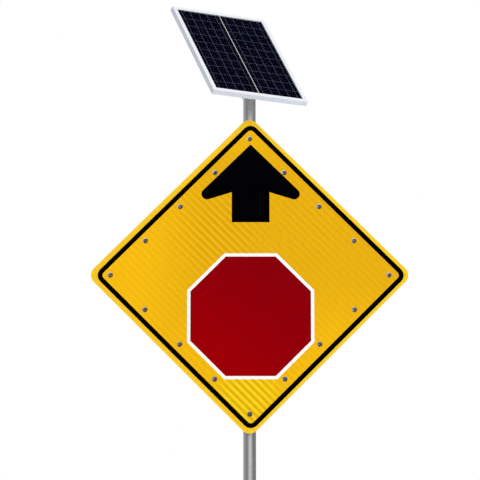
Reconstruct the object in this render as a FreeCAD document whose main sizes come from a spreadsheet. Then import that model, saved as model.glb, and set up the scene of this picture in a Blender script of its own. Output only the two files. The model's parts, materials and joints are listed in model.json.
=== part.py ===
import FreeCAD, Part
import math
import os
import re

import Sketcher
from FreeCAD import Placement, Rotation, Vector

# A solar-powered "stop ahead" symbol sign: a diamond blank ringed by sixteen LEDs on a round post,
# with a tilting solar panel on top and a control cabinet behind. Millimetres, +Z up, the sign faces
# -Y, and the origin is the centre of the post's foot.

# Driving dimensions. Each becomes a cell of the spreadsheet under its own name.
DIMENSIONS = {
    # post and heights
    "post_radius": 25.4,
    "post_wall": 2.8,
    "depth_mark": 150,
    "sign_height": 1000,
    "pivot_height": 1826,
    "snug": 0.1,
    "turn_gap": 0.3,
    # sign blank and films
    "blank_side": 914.4,
    "blank_corner": 38.1,
    "blank_thickness": 3.2,
    "sheeting": 0.4,
    "film": 0.2,
    # the print on the sheeting, which lies a little off the blank's centre
    "print_across": 4.4,
    "print_drop": 1,
    "border_margin": 17.1,
    "border_width": 19,
    "border_corner": 35,
    # arrow
    "arrow_tip": 532,
    "arrow_barb_out": 255.7,
    "arrow_barb_up": 280.7,
    "arrow_barb_radius": 22.4,
    "arrow_notch": 336.6,
    "arrow_shaft": 75.4,
    "arrow_tail": 214.4,
    # stop octagon
    "octagon_drop": 163.5,
    "octagon_flats": 504,
    "octagon_edge": 13,
    # LED ring
    "led_diagonal": 554,
    "led_hole": 7,
    "led_barrel": 6.9,
    "led_flange": 10.5,
    "led_lens": 7.5,
    "led_nut_flats": 19,
    "led_nut_thickness": 4,
    "led_gasket": 1,
    # wire channels behind the LED ring
    "channel_half": 17,
    "channel_depth": 16,
    "channel_sheet": 1.5,
    "channel_brim": 12,
    "harness_radius": 1.5,
    "harness_offset": 13.3,
    "harness_bend": 12,
    # lipped mounting rails, their clips and hardware
    "rail_depth": 22,
    "rail_half": 19,
    "rail_wall": 2.5,
    "rail_slot": 7,
    "sign_rail_length": 460,
    "sign_rail_spread": 240,
    "cabinet_rail_length": 180,
    "cabinet_rail_spread": 90,
    "clip_strap": 3,
    "clip_half": 15,
    "clip_reach": 56,
    "clip_bolt_out": 41,
    "bolt_radius": 4,
    "bolt_hole": 4.2,
    "rivet_radius": 2,
    "rivet_hole": 2.05,
    # cabinet and door
    "cabinet_half_width": 110,
    "cabinet_half_height": 150,
    "cabinet_depth": 120,
    "cabinet_wall": 2,
    "cabinet_lip": 12,
    "door_depth": 12,
    "door_inset": 0.5,
    "gasket_width": 8,
    "hinge_out": 114.5,
    "hinge_pin": 2,
    "hinge_barrel": 4,
    "hinge_half": 25,
    "hinge_spread": 95,
    "latch_out": 84,
    "latch_shaft": 6,
    # equipment
    "plate_half_width": 90,
    "plate_half_height": 130,
    "plate_standoff": 12,
    "battery_length": 151,
    "battery_depth": 65,
    "battery_height": 94,
    "controller_width": 130,
    "controller_height": 84,
    "controller_depth": 32,
    # mast head
    "collar_wall": 6,
    "collar_length": 38,
    "collar_cap": 8,
    "yoke_half": 25,
    "yoke_plate": 5,
    "yoke_rise": 39,
    "pivot_bolt": 5,
    "lock_bolt": 4,
    "lock_radius": 26,
    # panel
    "panel_yaw": 29,
    "panel_tilt": 50,
    "tilt_lowest": 20,
    "tilt_highest": 70,
    "panel_width": 429,
    "panel_height": 558,
    "panel_depth": 22,
    "panel_side": -60,
    "panel_up": 45,
    "bracket_rise": 26,
    "bracket_plate": 4,
    "bracket_ear": 36,
    "cross_rail_depth": 20,
    "cross_rail_half": 15,
    "cross_rail_wall": 1.5,
    "cross_rail_inset": 18,
    "cross_rail_spread": 110,
    "frame_wall": 1.8,
    "frame_lip": 17,
    "frame_foot": 34,
    "frame_ledge": 9,
    "glass_thickness": 3.2,
    "cell_thickness": 0.6,
    "cell_margin": 17,
    "cell_gap": 1.2,
    "cell_columns": 2,
    "cell_rows": 10,
    "column_gap": 4,
}


# Small fixed details, in the same units.
LED_COUNT = 16
CUT_CLEAR = 5
LIP_THICKNESS = 1.5
BACKSHEET_THICKNESS = 0.6
CABINET_BOLT_RADIUS = 3
CABINET_BOLT_HOLE = 3.2
GLAND_OUT = 92
GLAND_RADIUS = 8
CONTROLLER_UP = 80
SWITCH_OUT = -35
BUTTON_OUT = 35
CONTROL_DROP = 20
BUTTON_RADIUS = 5
BUSHING_RADIUS = 10
KNUCKLE_HALF = 8
KNUCKLE_GAP = 0.2
COLLAR_SCREW_DROP = 19
COLLAR_SCREWS = 4
PANEL_BOLT_RADIUS = 3
PANEL_BOLT_HOLE = 3.2
BRACKET_BOLT_OUT = 28
FRAME_BOLT_IN = 28
JUNCTION_UP = 170

# Heights and depths made from the driving dimensions, written once and used in many places.
SIGN_BACK = "(-(post_radius + snug + rail_depth))"
SHEET_BACK = f"({SIGN_BACK} - blank_thickness)"
SHEET_FRONT = f"({SHEET_BACK} - sheeting)"
CABINET_BACK = "(post_radius + snug + rail_depth)"
CABINET_FRONT = f"({CABINET_BACK} + cabinet_depth)"
DOOR_BACK = f"({CABINET_FRONT} + turn_gap)"
DOOR_FRONT = f"({DOOR_BACK} + door_depth)"
PLATE_FRONT = f"({CABINET_BACK} + cabinet_wall + plate_standoff)"
COLLAR_TOP = "(pivot_height - yoke_rise - yoke_plate)"
POST_TOP = f"({COLLAR_TOP} - collar_cap - turn_gap)"
RAIL_BACK = "(bracket_rise + bracket_plate)"
FRAME_BACK = f"({RAIL_BACK} + cross_rail_depth)"
FRAME_FRONT = f"({FRAME_BACK} + panel_depth)"
GLASS_TOP = f"({FRAME_FRONT} - {LIP_THICKNESS})"
CELL_TOP = f"({GLASS_TOP} - glass_thickness)"
CELL_BACK = f"({CELL_TOP} - cell_thickness)"

doc = FreeCAD.newDocument("stop_ahead_sign")
sheet = doc.addObject("Spreadsheet::Sheet", "sizes")
for row, (alias, size) in enumerate(DIMENSIONS.items(), start=1):
    sheet.set(f"A{row}", alias)
    sheet.set(f"B{row}", str(size))
    sheet.setAlias(f"B{row}", alias)
doc.recompute()
probe = doc.addObject("App::FeaturePython", "probe")
sub_parts = []


# ---------------------------------------------------------------- helpers


def bound(text):
    """Write every alias in an expression as a reference to the spreadsheet."""
    words = re.compile(r"[a-z][a-z_]*")
    return words.sub(lambda w: f"sizes.{w.group()}" if w.group() in DIMENSIONS else w.group(), str(text))


def number(text):
    """The value of an expression, as a plain number."""
    result = probe.evalExpression(bound(text))
    return float(getattr(result, "Value", result))


def at(x="0", y="0", z="0", yaw="0", roll="0"):
    """A placement expression: a point, a turn about X and then a turn about Z."""
    turn = f"create(<<rotation>>; {bound(yaw)}; 0; {bound(roll)})"
    return f"create(<<placement>>; create(<<vector>>; {bound(x)}; {bound(y)}; {bound(z)}); {turn})"


ON_POST = at()
ON_SIGN = at(y=SIGN_BACK, z="sign_height")
ON_PRINT = at(x="print_across", y=SIGN_BACK, z="sign_height - print_drop")
ON_HEAD = at(z="pivot_height", yaw="panel_yaw")
ON_PANEL = at(z="pivot_height", yaw="panel_yaw", roll="panel_tilt")


def new_body(label, place=None):
    """A body; with a placement expression it is a sub-part, without one it is a pattern piece."""
    body = doc.addObject("PartDesign::Body", label)
    body.Label = label
    if place is not None:
        body.setExpression("Placement", place)
        sub_parts.append(body)
    return body


def origin_item(body, role):
    return next(item for item in body.Origin.OriginFeatures if item.Role == role)


def sketch_on(body, plane, offset="0", turn=None):
    """A sketch on an origin plane, moved along its normal, or turned about its own X axis."""
    sketch = body.newObject("Sketcher::SketchObject", body.Label + "_sketch")
    sketch.AttachmentSupport = [(origin_item(body, plane), "")]
    sketch.MapMode = "FlatFace"
    if turn is not None:
        sketch.AttachmentOffset = Placement(Vector(), Rotation(Vector(1, 0, 0), number(turn)))
    sketch.setExpression("AttachmentOffset.Base.z", bound(offset))
    return sketch


def fix(sketch, kind, geometry, expression):
    """Constrain geometry and bind the constraint to an expression."""
    index = sketch.addConstraint(Sketcher.Constraint(kind, *geometry, number(expression)))
    sketch.setExpression(f"Constraints[{index}]", bound(expression))


def fix_point(sketch, geometry, vertex, x, y):
    fix(sketch, "DistanceX", (-1, 1, geometry, vertex), x)
    fix(sketch, "DistanceY", (-1, 1, geometry, vertex), y)


def polygon(sketch, points):
    """A closed outline through points given as pairs of expressions."""
    corners = [Vector(number(x), number(y), 0) for x, y in points]
    first = sketch.GeometryCount
    count = len(points)
    for k in range(count):
        sketch.addGeometry(Part.LineSegment(corners[k], corners[(k + 1) % count]), False)
    for k in range(count):
        sketch.addConstraint(Sketcher.Constraint("Coincident", first + k, 2, first + (k + 1) % count, 1))
    for k, (x, y) in enumerate(points):
        fix_point(sketch, first + k, 1, x, y)
    return sketch


def rectangle(sketch, x_low, y_low, x_high, y_high):
    return polygon(sketch, [(x_low, y_low), (x_high, y_low), (x_high, y_high), (x_low, y_high)])


def circle(sketch, x, y, radius):
    round_edge = Part.Circle(Vector(number(x), number(y), 0), Vector(0, 0, 1), number(radius))
    index = sketch.addGeometry(round_edge, False)
    fix(sketch, "Radius", (index,), radius)
    fix_point(sketch, index, 3, x, y)
    return sketch


def regular_polygon(sketch, sides, flats, x="0", y="0", turn=0.0):
    """A regular polygon by its width across flats, its first corner turned by so many degrees."""
    reach = f"{flats} / (2 * cos({180 / sides}))"
    corners = [turn + 360 * k / sides for k in range(sides)]
    return polygon(sketch, [(f"{x} + {reach} * cos({a})", f"{y} + {reach} * sin({a})") for a in corners])


def rounded_diamond(sketch, diagonal, radius):
    """A square standing on its corner, by half its sharp diagonal and its corner radius."""
    first = sketch.GeometryCount
    reach = f"({diagonal} - ({radius}) * sqrt(2))"
    centre_reach = number(reach)
    corner = number(radius)
    axes = [(1, 0), (0, 1), (-1, 0), (0, -1)]
    for k, (ax, ay) in enumerate(axes):
        centre = Vector(ax * centre_reach, ay * centre_reach, 0)
        start = math.radians(90 * k - 45)
        arc = Part.ArcOfCircle(Part.Circle(centre, Vector(0, 0, 1), corner), start, start + math.pi / 2)
        sketch.addGeometry(arc, False)
    for k in range(4):
        start = sketch.Geometry[first + k].EndPoint
        end = sketch.Geometry[first + (k + 1) % 4].StartPoint
        sketch.addGeometry(Part.LineSegment(start, end), False)
    for k, (ax, ay) in enumerate(axes):
        fix(sketch, "Radius", (first + k,), radius)
        fix_point(sketch, first + k, 3, f"{ax} * {reach}", f"{ay} * {reach}")
        sketch.addConstraint(Sketcher.Constraint("Tangent", first + k, 2, first + 4 + k, 1))
        sketch.addConstraint(Sketcher.Constraint("Tangent", first + 4 + k, 2, first + (k + 1) % 4, 1))
    return sketch


def volume(body):
    return body.Shape.Volume if body.Tip and not body.Shape.isNull() else 0.0


def finish_feature(body, feature, grows):
    """Recompute, and stop if the feature did not change the body the way it should."""
    before = volume(body)
    body.Tip = feature
    doc.recompute()
    change = volume(body) - before
    if (change <= 0) == grows or abs(change) < 1e-6:
        raise RuntimeError(f"{feature.Label} on {body.Label} changed the volume by {change:.4f}")
    return feature


def pad(body, sketch, length, backwards=False, both=False):
    """Extrude a sketch along its normal, or against it, or half each way."""
    feature = body.newObject("PartDesign::Pad", body.Label + "_pad")
    feature.Profile = sketch
    feature.setExpression("Length", bound(length))
    feature.Reversed = backwards
    feature.Midplane = both
    return finish_feature(body, feature, grows=True)


def cut(body, sketch, length, backwards=False, both=False):
    """Cut a sketch along its normal, or against it, or half each way."""
    feature = body.newObject("PartDesign::Pocket", body.Label + "_cut")
    feature.Profile = sketch
    feature.setExpression("Length", bound(length))
    feature.Reversed = not backwards
    feature.Midplane = both
    return finish_feature(body, feature, grows=False)


def revolve(body, sketch, axis="Y_Axis"):
    feature = body.newObject("PartDesign::Revolution", body.Label + "_turned")
    feature.Profile = sketch
    feature.ReferenceAxis = (origin_item(body, axis), [""])
    feature.Angle = 360
    return finish_feature(body, feature, grows=True)


def groove(body, sketch, axis, angle):
    feature = body.newObject("PartDesign::Groove", body.Label + "_groove")
    feature.Profile = sketch
    feature.ReferenceAxis = (origin_item(body, axis), [""])
    feature.setExpression("Angle", bound(angle))
    return finish_feature(body, feature, grows=False)


def polar_pattern(body, feature, axis, count):
    pattern = body.newObject("PartDesign::PolarPattern", body.Label + "_polar")
    pattern.Originals = [feature]
    pattern.Axis = (origin_item(body, axis), [""])
    pattern.Angle = 360
    pattern.Occurrences = count
    body.Tip = pattern
    doc.recompute()
    return pattern


def linear_pattern(body, feature, axis, length, count):
    pattern = body.newObject("PartDesign::LinearPattern", body.Label + "_row")
    pattern.Originals = [feature]
    pattern.Direction = (origin_item(body, axis), [""])
    pattern.setExpression("Length", bound(length))
    pattern.Occurrences = count
    body.Tip = pattern
    doc.recompute()
    return pattern


def round_edges(body, radius, chosen):
    """Fillet the edges of the body's last feature that a test picks."""
    base = body.Tip
    names = [f"Edge{k}" for k, edge in enumerate(base.Shape.Edges, start=1) if chosen(edge)]
    fillet = body.newObject("PartDesign::Fillet", body.Label + "_fillet")
    fillet.Base = (base, names)
    fillet.setExpression("Radius", bound(radius))
    body.Tip = fillet
    doc.recompute()
    return fillet


def parallel_to(axis):
    """A test for straight edges along an axis."""
    def chosen(edge):
        return isinstance(edge.Curve, Part.Line) and abs(edge.Curve.Direction.dot(axis)) > 0.999
    return chosen


def group(label, copies, place=None):
    """One sub-part of several loose pieces: copies of pattern pieces at placement expressions."""
    links = []
    for k, (piece, where) in enumerate(copies):
        link = doc.addObject("App::Link", f"{label}_{k + 1}")
        link.LinkedObject = piece
        link.setExpression("Placement", where)
        links.append(link)
    compound = doc.addObject("Part::Compound", label)
    compound.Label = label
    compound.Links = links
    if place is not None:
        compound.setExpression("Placement", place)
    sub_parts.append(compound)
    doc.recompute()
    return compound


def screw_piece(name, radius, length, head_flats, head_thickness):
    """A hex screw along +Z, with the underside of its head at the origin."""
    piece = new_body(name)
    pad(piece, circle(sketch_on(piece, "XY_Plane"), "0", "0", radius), length)
    pad(piece, regular_polygon(sketch_on(piece, "XY_Plane"), 6, head_flats), head_thickness, backwards=True)
    return piece


def nut_piece(name, bore, flats, thickness, flange_radius=None, flange="0"):
    """A hex nut along +Z from the origin, with a washer flange under it where one is asked for."""
    piece = new_body(name)
    if flange_radius is not None:
        pad(piece, circle(sketch_on(piece, "XY_Plane"), "0", "0", flange_radius), flange)
    pad(piece, regular_polygon(sketch_on(piece, "XY_Plane", flange), 6, flats), thickness)
    cut(piece, circle(sketch_on(piece, "XY_Plane"), "0", "0", bore), f"{flange} + {thickness}")
    return piece


# ---------------------------------------------------------------- places that repeat


def led_spots():
    """Fractions of the LED diamond's half diagonal, evenly round it from the top corner."""
    corners = [(0, 1), (1, 0), (0, -1), (-1, 0), (0, 1)]
    per_side = LED_COUNT // 4
    spots = []
    for side in range(4):
        (x0, z0), (x1, z1) = corners[side], corners[side + 1]
        for step in range(per_side):
            share = step / per_side
            spots.append((x0 + (x1 - x0) * share, z0 + (z1 - z0) * share))
    return spots


def channel_rivet_spots():
    """Rivets along both brims of each wire channel, as pairs of expressions."""
    spots = []
    for side_x in (1, -1):
        for side_z in (1, -1):
            for brim in (1, -1):
                reach = f"(led_diagonal + {brim} * (channel_half + channel_brim / 2) * sqrt(2))"
                for share in (0.125, 0.5, 0.875):
                    spots.append((f"{side_x * share} * {reach}", f"{side_z * (1 - share)} * {reach}"))
    return spots


def rail_rivet_spots():
    spots = []
    for level in (1, -1):
        for across in (-190, -70, 70, 190):
            spots.append((str(across), f"{level} * sign_rail_spread"))
    return spots


# ---------------------------------------------------------------- post and sign


def make_post():
    """A round tube, with a ring scribed above its foot to show how far it goes into its socket."""
    body = new_body("post", ON_POST)
    pad(body, circle(sketch_on(body, "XY_Plane"), "0", "0", "post_radius"), POST_TOP)
    cut(body, circle(sketch_on(body, "XY_Plane"), "0", "0", "post_radius - post_wall"), POST_TOP)
    mark = sketch_on(body, "XY_Plane", "depth_mark")
    circle(mark, "0", "0", "post_radius + 1")
    circle(mark, "0", "0", "post_radius - 0.5")
    cut(body, mark, "1")


def make_sign_blank():
    body = new_body("sign_blank", ON_SIGN)
    outline = rounded_diamond(sketch_on(body, "XZ_Plane"), "blank_side / sqrt(2)", "blank_corner")
    pad(body, outline, "blank_thickness")
    holes = sketch_on(body, "XZ_Plane")
    for x, z in led_spots():
        circle(holes, f"{x} * led_diagonal", f"{z} * led_diagonal", "led_hole")
    cut(body, holes, "blank_thickness")
    rivet_holes = sketch_on(body, "XZ_Plane")
    for x, z in channel_rivet_spots() + rail_rivet_spots():
        circle(rivet_holes, x, z, "rivet_hole")
    cut(body, rivet_holes, "blank_thickness")


def make_sheeting():
    body = new_body("yellow_sheeting", ON_SIGN)
    face = sketch_on(body, "XZ_Plane", "blank_thickness")
    pad(body, rounded_diamond(face, "blank_side / sqrt(2)", "blank_corner"), "sheeting")
    holes = sketch_on(body, "XZ_Plane", "blank_thickness")
    for x, z in led_spots():
        circle(holes, f"{x} * led_diagonal", f"{z} * led_diagonal", "led_hole")
    cut(body, holes, "sheeting")


def make_border():
    body = new_body("black_border", ON_PRINT)
    for inset, operation in (("0", pad), ("border_width", cut)):
        face = sketch_on(body, "XZ_Plane", "blank_thickness + sheeting")
        diagonal = f"((blank_side / 2 - border_margin - {inset}) * sqrt(2))"
        operation(body, rounded_diamond(face, diagonal, f"border_corner - {inset}"), "film")


def make_arrow():
    body = new_body("black_arrow", ON_PRINT)
    face = sketch_on(body, "XZ_Plane", "blank_thickness + sheeting")
    right = [
        ("arrow_barb_out", "arrow_barb_up"),
        ("arrow_shaft", "arrow_notch"),
        ("arrow_shaft", "arrow_tail"),
    ]
    left = [(f"-{x}", z) for x, z in reversed(right)]
    pad(body, polygon(face, [("0", "arrow_tip")] + right + left), "film")
    barb = number("arrow_barb_out")

    def at_barb(edge):
        return parallel_to(Vector(0, 1, 0))(edge) and abs(abs(edge.Vertexes[0].X) - barb) < 1e-3
    round_edges(body, "arrow_barb_radius", at_barb)


def make_octagons():
    layers = [
        ("white_octagon", "octagon_flats", "0"),
        ("red_octagon", "(octagon_flats - 2 * octagon_edge)", "film"),
    ]
    for label, flats, lift in layers:
        body = new_body(label, ON_PRINT)
        face = sketch_on(body, "XZ_Plane", f"blank_thickness + sheeting + {lift}")
        pad(body, regular_polygon(face, 8, flats, y="-octagon_drop", turn=22.5), "film")


# ---------------------------------------------------------------- LED ring

# Each LED piece is turned about its own axis: radius first, then depth in front of the sheeting.
BARREL_END = 14
FLANGE_THICKNESS = 1.6
FLANGE_CHAMFER = 0.6
BARREL_BORE = 5.9
BORE_FLOOR = 12
LENS_SEAT = 0.6
LENS_DISC = 1.7
LENS_TOP = 6
LENS_DOME = 4.2
BOARD_DEPTH = 2
BOARD_THICKNESS = 1


def turned_piece(name, profile):
    """A piece turned about Y from (radius, distance forward) pairs."""
    piece = new_body(name)
    points = [(radius, f"-({forward})") for radius, forward in profile]
    revolve(piece, polygon(sketch_on(piece, "XY_Plane"), points))
    return piece


def make_bezel_piece():
    return turned_piece("bezel_piece", [
        ("0", -BARREL_END), ("led_barrel", -BARREL_END), ("led_barrel", 0), ("led_flange", 0),
        ("led_flange", FLANGE_THICKNESS - FLANGE_CHAMFER),
        (f"led_flange - {FLANGE_CHAMFER}", FLANGE_THICKNESS),
        ("led_lens + snug", FLANGE_THICKNESS), ("led_lens + snug", LENS_SEAT),
        (BARREL_BORE, LENS_SEAT), (BARREL_BORE, -BORE_FLOOR), ("0", -BORE_FLOOR),
    ])


def make_lens_piece():
    piece = turned_piece("lens_piece", [
        ("0", LENS_SEAT), ("led_lens", LENS_SEAT), ("led_lens", LENS_DISC),
        ("led_lens - 0.6", LENS_DISC), ("led_lens - 0.6", LENS_TOP), ("0", LENS_TOP),
    ])

    def at_front(edge):
        return abs(edge.BoundBox.YMin + LENS_TOP) < 1e-6 and edge.BoundBox.YLength < 1e-6 \
            and isinstance(edge.Curve, Part.Circle)
    round_edges(piece, LENS_DOME, at_front)
    return piece


def make_emitter_piece():
    piece = turned_piece("emitter_piece", [
        ("0", -BOARD_DEPTH), ("2.5", -BOARD_DEPTH), ("2.5", 0), ("0", 0),
    ])

    def at_front(edge):
        return abs(edge.BoundBox.YMin) < 1e-6 and edge.BoundBox.YLength < 1e-6 \
            and isinstance(edge.Curve, Part.Circle)
    round_edges(piece, 1.8, at_front)
    return piece


def make_board_piece():
    back = -BOARD_DEPTH - BOARD_THICKNESS
    edge = f"{BARREL_BORE} - snug"
    return turned_piece("board_piece", [("0", back), (edge, back), (edge, -BOARD_DEPTH), ("0", -BOARD_DEPTH)])


def make_led_gasket_piece():
    front = "-(sheeting + blank_thickness)"
    back = "-(sheeting + blank_thickness + led_gasket)"
    return turned_piece("led_gasket_piece", [
        ("led_hole", back), ("10", back), ("10", front), ("led_hole", front),
    ])


def make_led_nut_piece():
    piece = new_body("led_nut_piece")
    back = "sheeting + blank_thickness + led_gasket"
    hexagon = regular_polygon(sketch_on(piece, "XZ_Plane", f"-({back})"), 6, "led_nut_flats")
    pad(piece, hexagon, "led_nut_thickness", backwards=True)
    bore = circle(sketch_on(piece, "XZ_Plane", f"-({back})"), "0", "0", "led_barrel + snug / 2")
    cut(piece, bore, "led_nut_thickness", backwards=True)
    return piece


def make_led_ring():
    makers = {
        "led_bezels": make_bezel_piece,
        "led_lenses": make_lens_piece,
        "led_emitters": make_emitter_piece,
        "led_boards": make_board_piece,
        "led_gaskets": make_led_gasket_piece,
        "led_nuts": make_led_nut_piece,
    }
    places = [
        at(f"{x} * led_diagonal", SHEET_FRONT, f"sign_height + {z} * led_diagonal")
        for x, z in led_spots()
    ]
    for label, maker in makers.items():
        piece = maker()
        group(label, [(piece, place) for place in places])


def make_wire_channel(label, side_x, side_z):
    """One side of the raceway behind the LEDs: a hat section, mitred where it meets the next."""
    def stretch(half_width):
        outer = f"(led_diagonal + ({half_width}) * sqrt(2))"
        inner = f"(led_diagonal - ({half_width}) * sqrt(2))"
        return [("0", f"{side_z} * {outer}"), (f"{side_x} * {outer}", "0"),
                (f"{side_x} * {inner}", "0"), ("0", f"{side_z} * {inner}")]

    body = new_body(label, ON_SIGN)
    brim = polygon(sketch_on(body, "XZ_Plane"), stretch("channel_half + channel_brim"))
    pad(body, brim, "channel_sheet", backwards=True)
    pad(body, polygon(sketch_on(body, "XZ_Plane"), stretch("channel_half")), "channel_depth", backwards=True)
    hollow = polygon(sketch_on(body, "XZ_Plane"), stretch("channel_half - channel_sheet"))
    cut(body, hollow, "channel_depth - channel_sheet", backwards=True)
    holes = sketch_on(body, "XZ_Plane")
    for x, z in channel_rivet_spots():
        if number(x) * side_x > 0 and number(z) * side_z > 0:
            circle(holes, x, z, "rivet_hole")
    cut(body, holes, "channel_sheet", backwards=True)


def make_wire_channels():
    for side_z, level in ((1, "upper"), (-1, "lower")):
        for side_x, hand in ((-1, "left"), (1, "right")):
            make_wire_channel(f"wire_channel_{level}_{hand}", side_x, side_z)


def make_led_harness():
    """The cable that feeds the LEDs: four straight runs and four bends inside the channels."""
    body = new_body("led_harness", ON_SIGN)
    depth = "(harness_radius + 2)"
    diagonal = "(led_diagonal + harness_offset * sqrt(2))"
    bend_centre = f"({diagonal} - harness_bend * sqrt(2))"
    path = rounded_diamond(sketch_on(body, "XZ_Plane", f"-{depth}"), diagonal, "harness_bend")
    profile = sketch_on(body, "XY_Plane")
    circle(profile, f"{bend_centre} + harness_bend", depth, "harness_radius")
    pipe = body.newObject("PartDesign::AdditivePipe", "led_harness_run")
    pipe.Profile = profile
    pipe.Spine = path
    body.Tip = pipe
    doc.recompute()


# ---------------------------------------------------------------- rails, clips and rivets


def shape_rail(body, length, opens):
    """A lipped rail across the post, its slot open towards +Y (1) or -Y (-1)."""
    levels = [
        ("0", "rail_depth", "rail_half", pad),
        ("rail_wall", "rail_depth - rail_wall", "rail_half - rail_wall", cut),
        ("rail_depth - rail_wall", "rail_depth", "rail_slot", cut),
    ]
    for near, far, half, operation in levels:
        low, high = sorted((f"{opens} * ({near})", f"{opens} * ({far})"), key=number)
        section = rectangle(sketch_on(body, "YZ_Plane"), low, f"-({half})", high, half)
        operation(body, section, length, both=True)


def make_sign_rails():
    for level, name in ((1, "upper"), (-1, "lower")):
        body = new_body(f"sign_rail_{name}", at(y=SIGN_BACK, z=f"sign_height + {level} * sign_rail_spread"))
        shape_rail(body, "sign_rail_length", opens=1)
        holes = sketch_on(body, "XZ_Plane")
        for x, z in rail_rivet_spots():
            if number(z) * level > 0:
                circle(holes, x, "0", "rivet_hole")
        cut(body, holes, "rail_wall", backwards=True)


def make_cabinet_rails():
    piece = new_body("cabinet_rail_piece")
    shape_rail(piece, "cabinet_rail_length", opens=-1)
    holes = sketch_on(piece, "XZ_Plane")
    for side in (1, -1):
        circle(holes, f"{side} * cabinet_rail_length / 3", "0", CABINET_BOLT_HOLE)
    cut(piece, holes, "rail_wall")
    places = [at(y=CABINET_BACK, z=f"sign_height + {level} * cabinet_rail_spread") for level in (1, -1)]
    group("cabinet_rails", [(piece, place) for place in places])


def make_rivets():
    """Blind rivets from the blank's face, under the sheeting, to a round head at the back."""
    def rivet_piece(name, stack):
        piece = new_body(name)
        shank = circle(sketch_on(piece, "XZ_Plane", "blank_thickness"), "0", "0", "rivet_radius")
        pad(piece, shank, f"blank_thickness + {stack}", backwards=True)
        head = circle(sketch_on(piece, "XZ_Plane", f"-({stack})"), "0", "0", "rivet_radius * 1.8")
        pad(piece, head, "1.2", backwards=True)
        return piece

    brim_rivet = rivet_piece("brim_rivet_piece", "channel_sheet")
    rail_rivet = rivet_piece("rail_rivet_piece", "rail_wall")
    copies = [(brim_rivet, at(x, SIGN_BACK, f"sign_height + {z}")) for x, z in channel_rivet_spots()]
    copies += [(rail_rivet, at(x, SIGN_BACK, f"sign_height + {z}")) for x, z in rail_rivet_spots()]
    group("blind_rivets", copies)


def clip_places():
    """Where the four post clips sit: two open towards the sign and two towards the cabinet."""
    places = []
    for spread, yaw in (("sign_rail_spread", 0), ("cabinet_rail_spread", 180)):
        for level in (1, -1):
            places.append((f"sign_height + {level} * {spread}", yaw))
    return places


def make_clips():
    """Straps round the far side of the post, with ears flat on the rail's lips."""
    piece = new_body("clip_piece")
    inner = "(post_radius + snug)"
    outer = f"({inner} + clip_strap)"

    def level():
        return sketch_on(piece, "XY_Plane")
    pad(piece, circle(level(), "0", "0", outer), "2 * clip_half", both=True)
    pad(piece, rectangle(level(), f"-{outer}", f"-{inner}", outer, "0"), "2 * clip_half", both=True)
    ears = rectangle(level(), "-clip_reach", f"-{inner}", "clip_reach", f"-{inner} + clip_strap")
    pad(piece, ears, "2 * clip_half", both=True)
    beyond = f"-{inner} - {CUT_CLEAR}"
    cut(piece, circle(level(), "0", "0", inner), "2 * clip_half", both=True)
    cut(piece, rectangle(level(), f"-{inner}", beyond, inner, "0"), "2 * clip_half", both=True)
    holes = sketch_on(piece, "XZ_Plane")
    for side in (1, -1):
        circle(holes, f"{side} * clip_bolt_out", "0", "bolt_hole")
    cut(piece, holes, f"2 * {outer}", both=True)
    group("post_clips", [(piece, at(z=height, yaw=yaw)) for height, yaw in clip_places()])


def make_clip_hardware():
    """Square-headed bolts held in the rails' slots, and the flange nuts on the clips' ears."""
    bolt = new_body("clip_bolt_piece")
    lip = "(post_radius + snug + rail_wall)"
    head = rectangle(sketch_on(bolt, "XZ_Plane", lip), "-6.4", "-6.4", "6.4", "6.4")
    pad(bolt, head, "5")
    pad(bolt, circle(sketch_on(bolt, "XZ_Plane", lip), "0", "0", "bolt_radius"), "20", backwards=True)
    nut = new_body("clip_nut_piece")
    ear = "(post_radius + snug - clip_strap)"
    pad(nut, circle(sketch_on(nut, "XZ_Plane", ear), "0", "0", "8.5"), "1.5", backwards=True)
    hexagon = regular_polygon(sketch_on(nut, "XZ_Plane", f"{ear} - 1.5"), 6, "13")
    pad(nut, hexagon, "6.5", backwards=True)
    cut(nut, circle(sketch_on(nut, "XZ_Plane", ear), "0", "0", "bolt_radius + snug / 2"), "8", backwards=True)
    copies = []
    for height, yaw in clip_places():
        for side in (1, -1):
            place = at(f"{side} * clip_bolt_out", "0", height, yaw=yaw)
            copies += [(bolt, place), (nut, place)]
    group("clip_bolts", copies)


# ---------------------------------------------------------------- cabinet


ON_CABINET = at(y=CABINET_BACK, z="sign_height")


def make_cabinet_body():
    """A folded steel box, open to the rear behind a narrow return lip."""
    body = new_body("cabinet_body", ON_CABINET)
    steps = [
        ("0", "cabinet_half_width", "cabinet_half_height", "cabinet_depth", pad),
        ("cabinet_wall", "cabinet_half_width - cabinet_wall", "cabinet_half_height - cabinet_wall",
         "cabinet_depth - 2 * cabinet_wall", cut),
        ("cabinet_depth - cabinet_wall", "cabinet_half_width - cabinet_lip",
         "cabinet_half_height - cabinet_lip", "cabinet_wall", cut),
    ]
    for start, half_x, half_z, length, operation in steps:
        face = sketch_on(body, "XZ_Plane", f"-({start})")
        rectangle(face, f"-({half_x})", f"-({half_z})", half_x, half_z)
        operation(body, face, length, backwards=True)
    holes = sketch_on(body, "XZ_Plane")
    for side in (1, -1):
        for level in (1, -1):
            x, z = f"{side} * cabinet_rail_length / 3", f"{level} * cabinet_rail_spread"
            circle(holes, x, z, CABINET_BOLT_HOLE)
    cut(body, holes, "cabinet_wall", backwards=True)
    floor_holes = sketch_on(body, "XY_Plane", "-cabinet_half_height")
    for side in (1, -1):
        circle(floor_holes, f"{side * GLAND_OUT}", "cabinet_depth / 2", GLAND_RADIUS)
    cut(body, floor_holes, "cabinet_wall")


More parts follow.
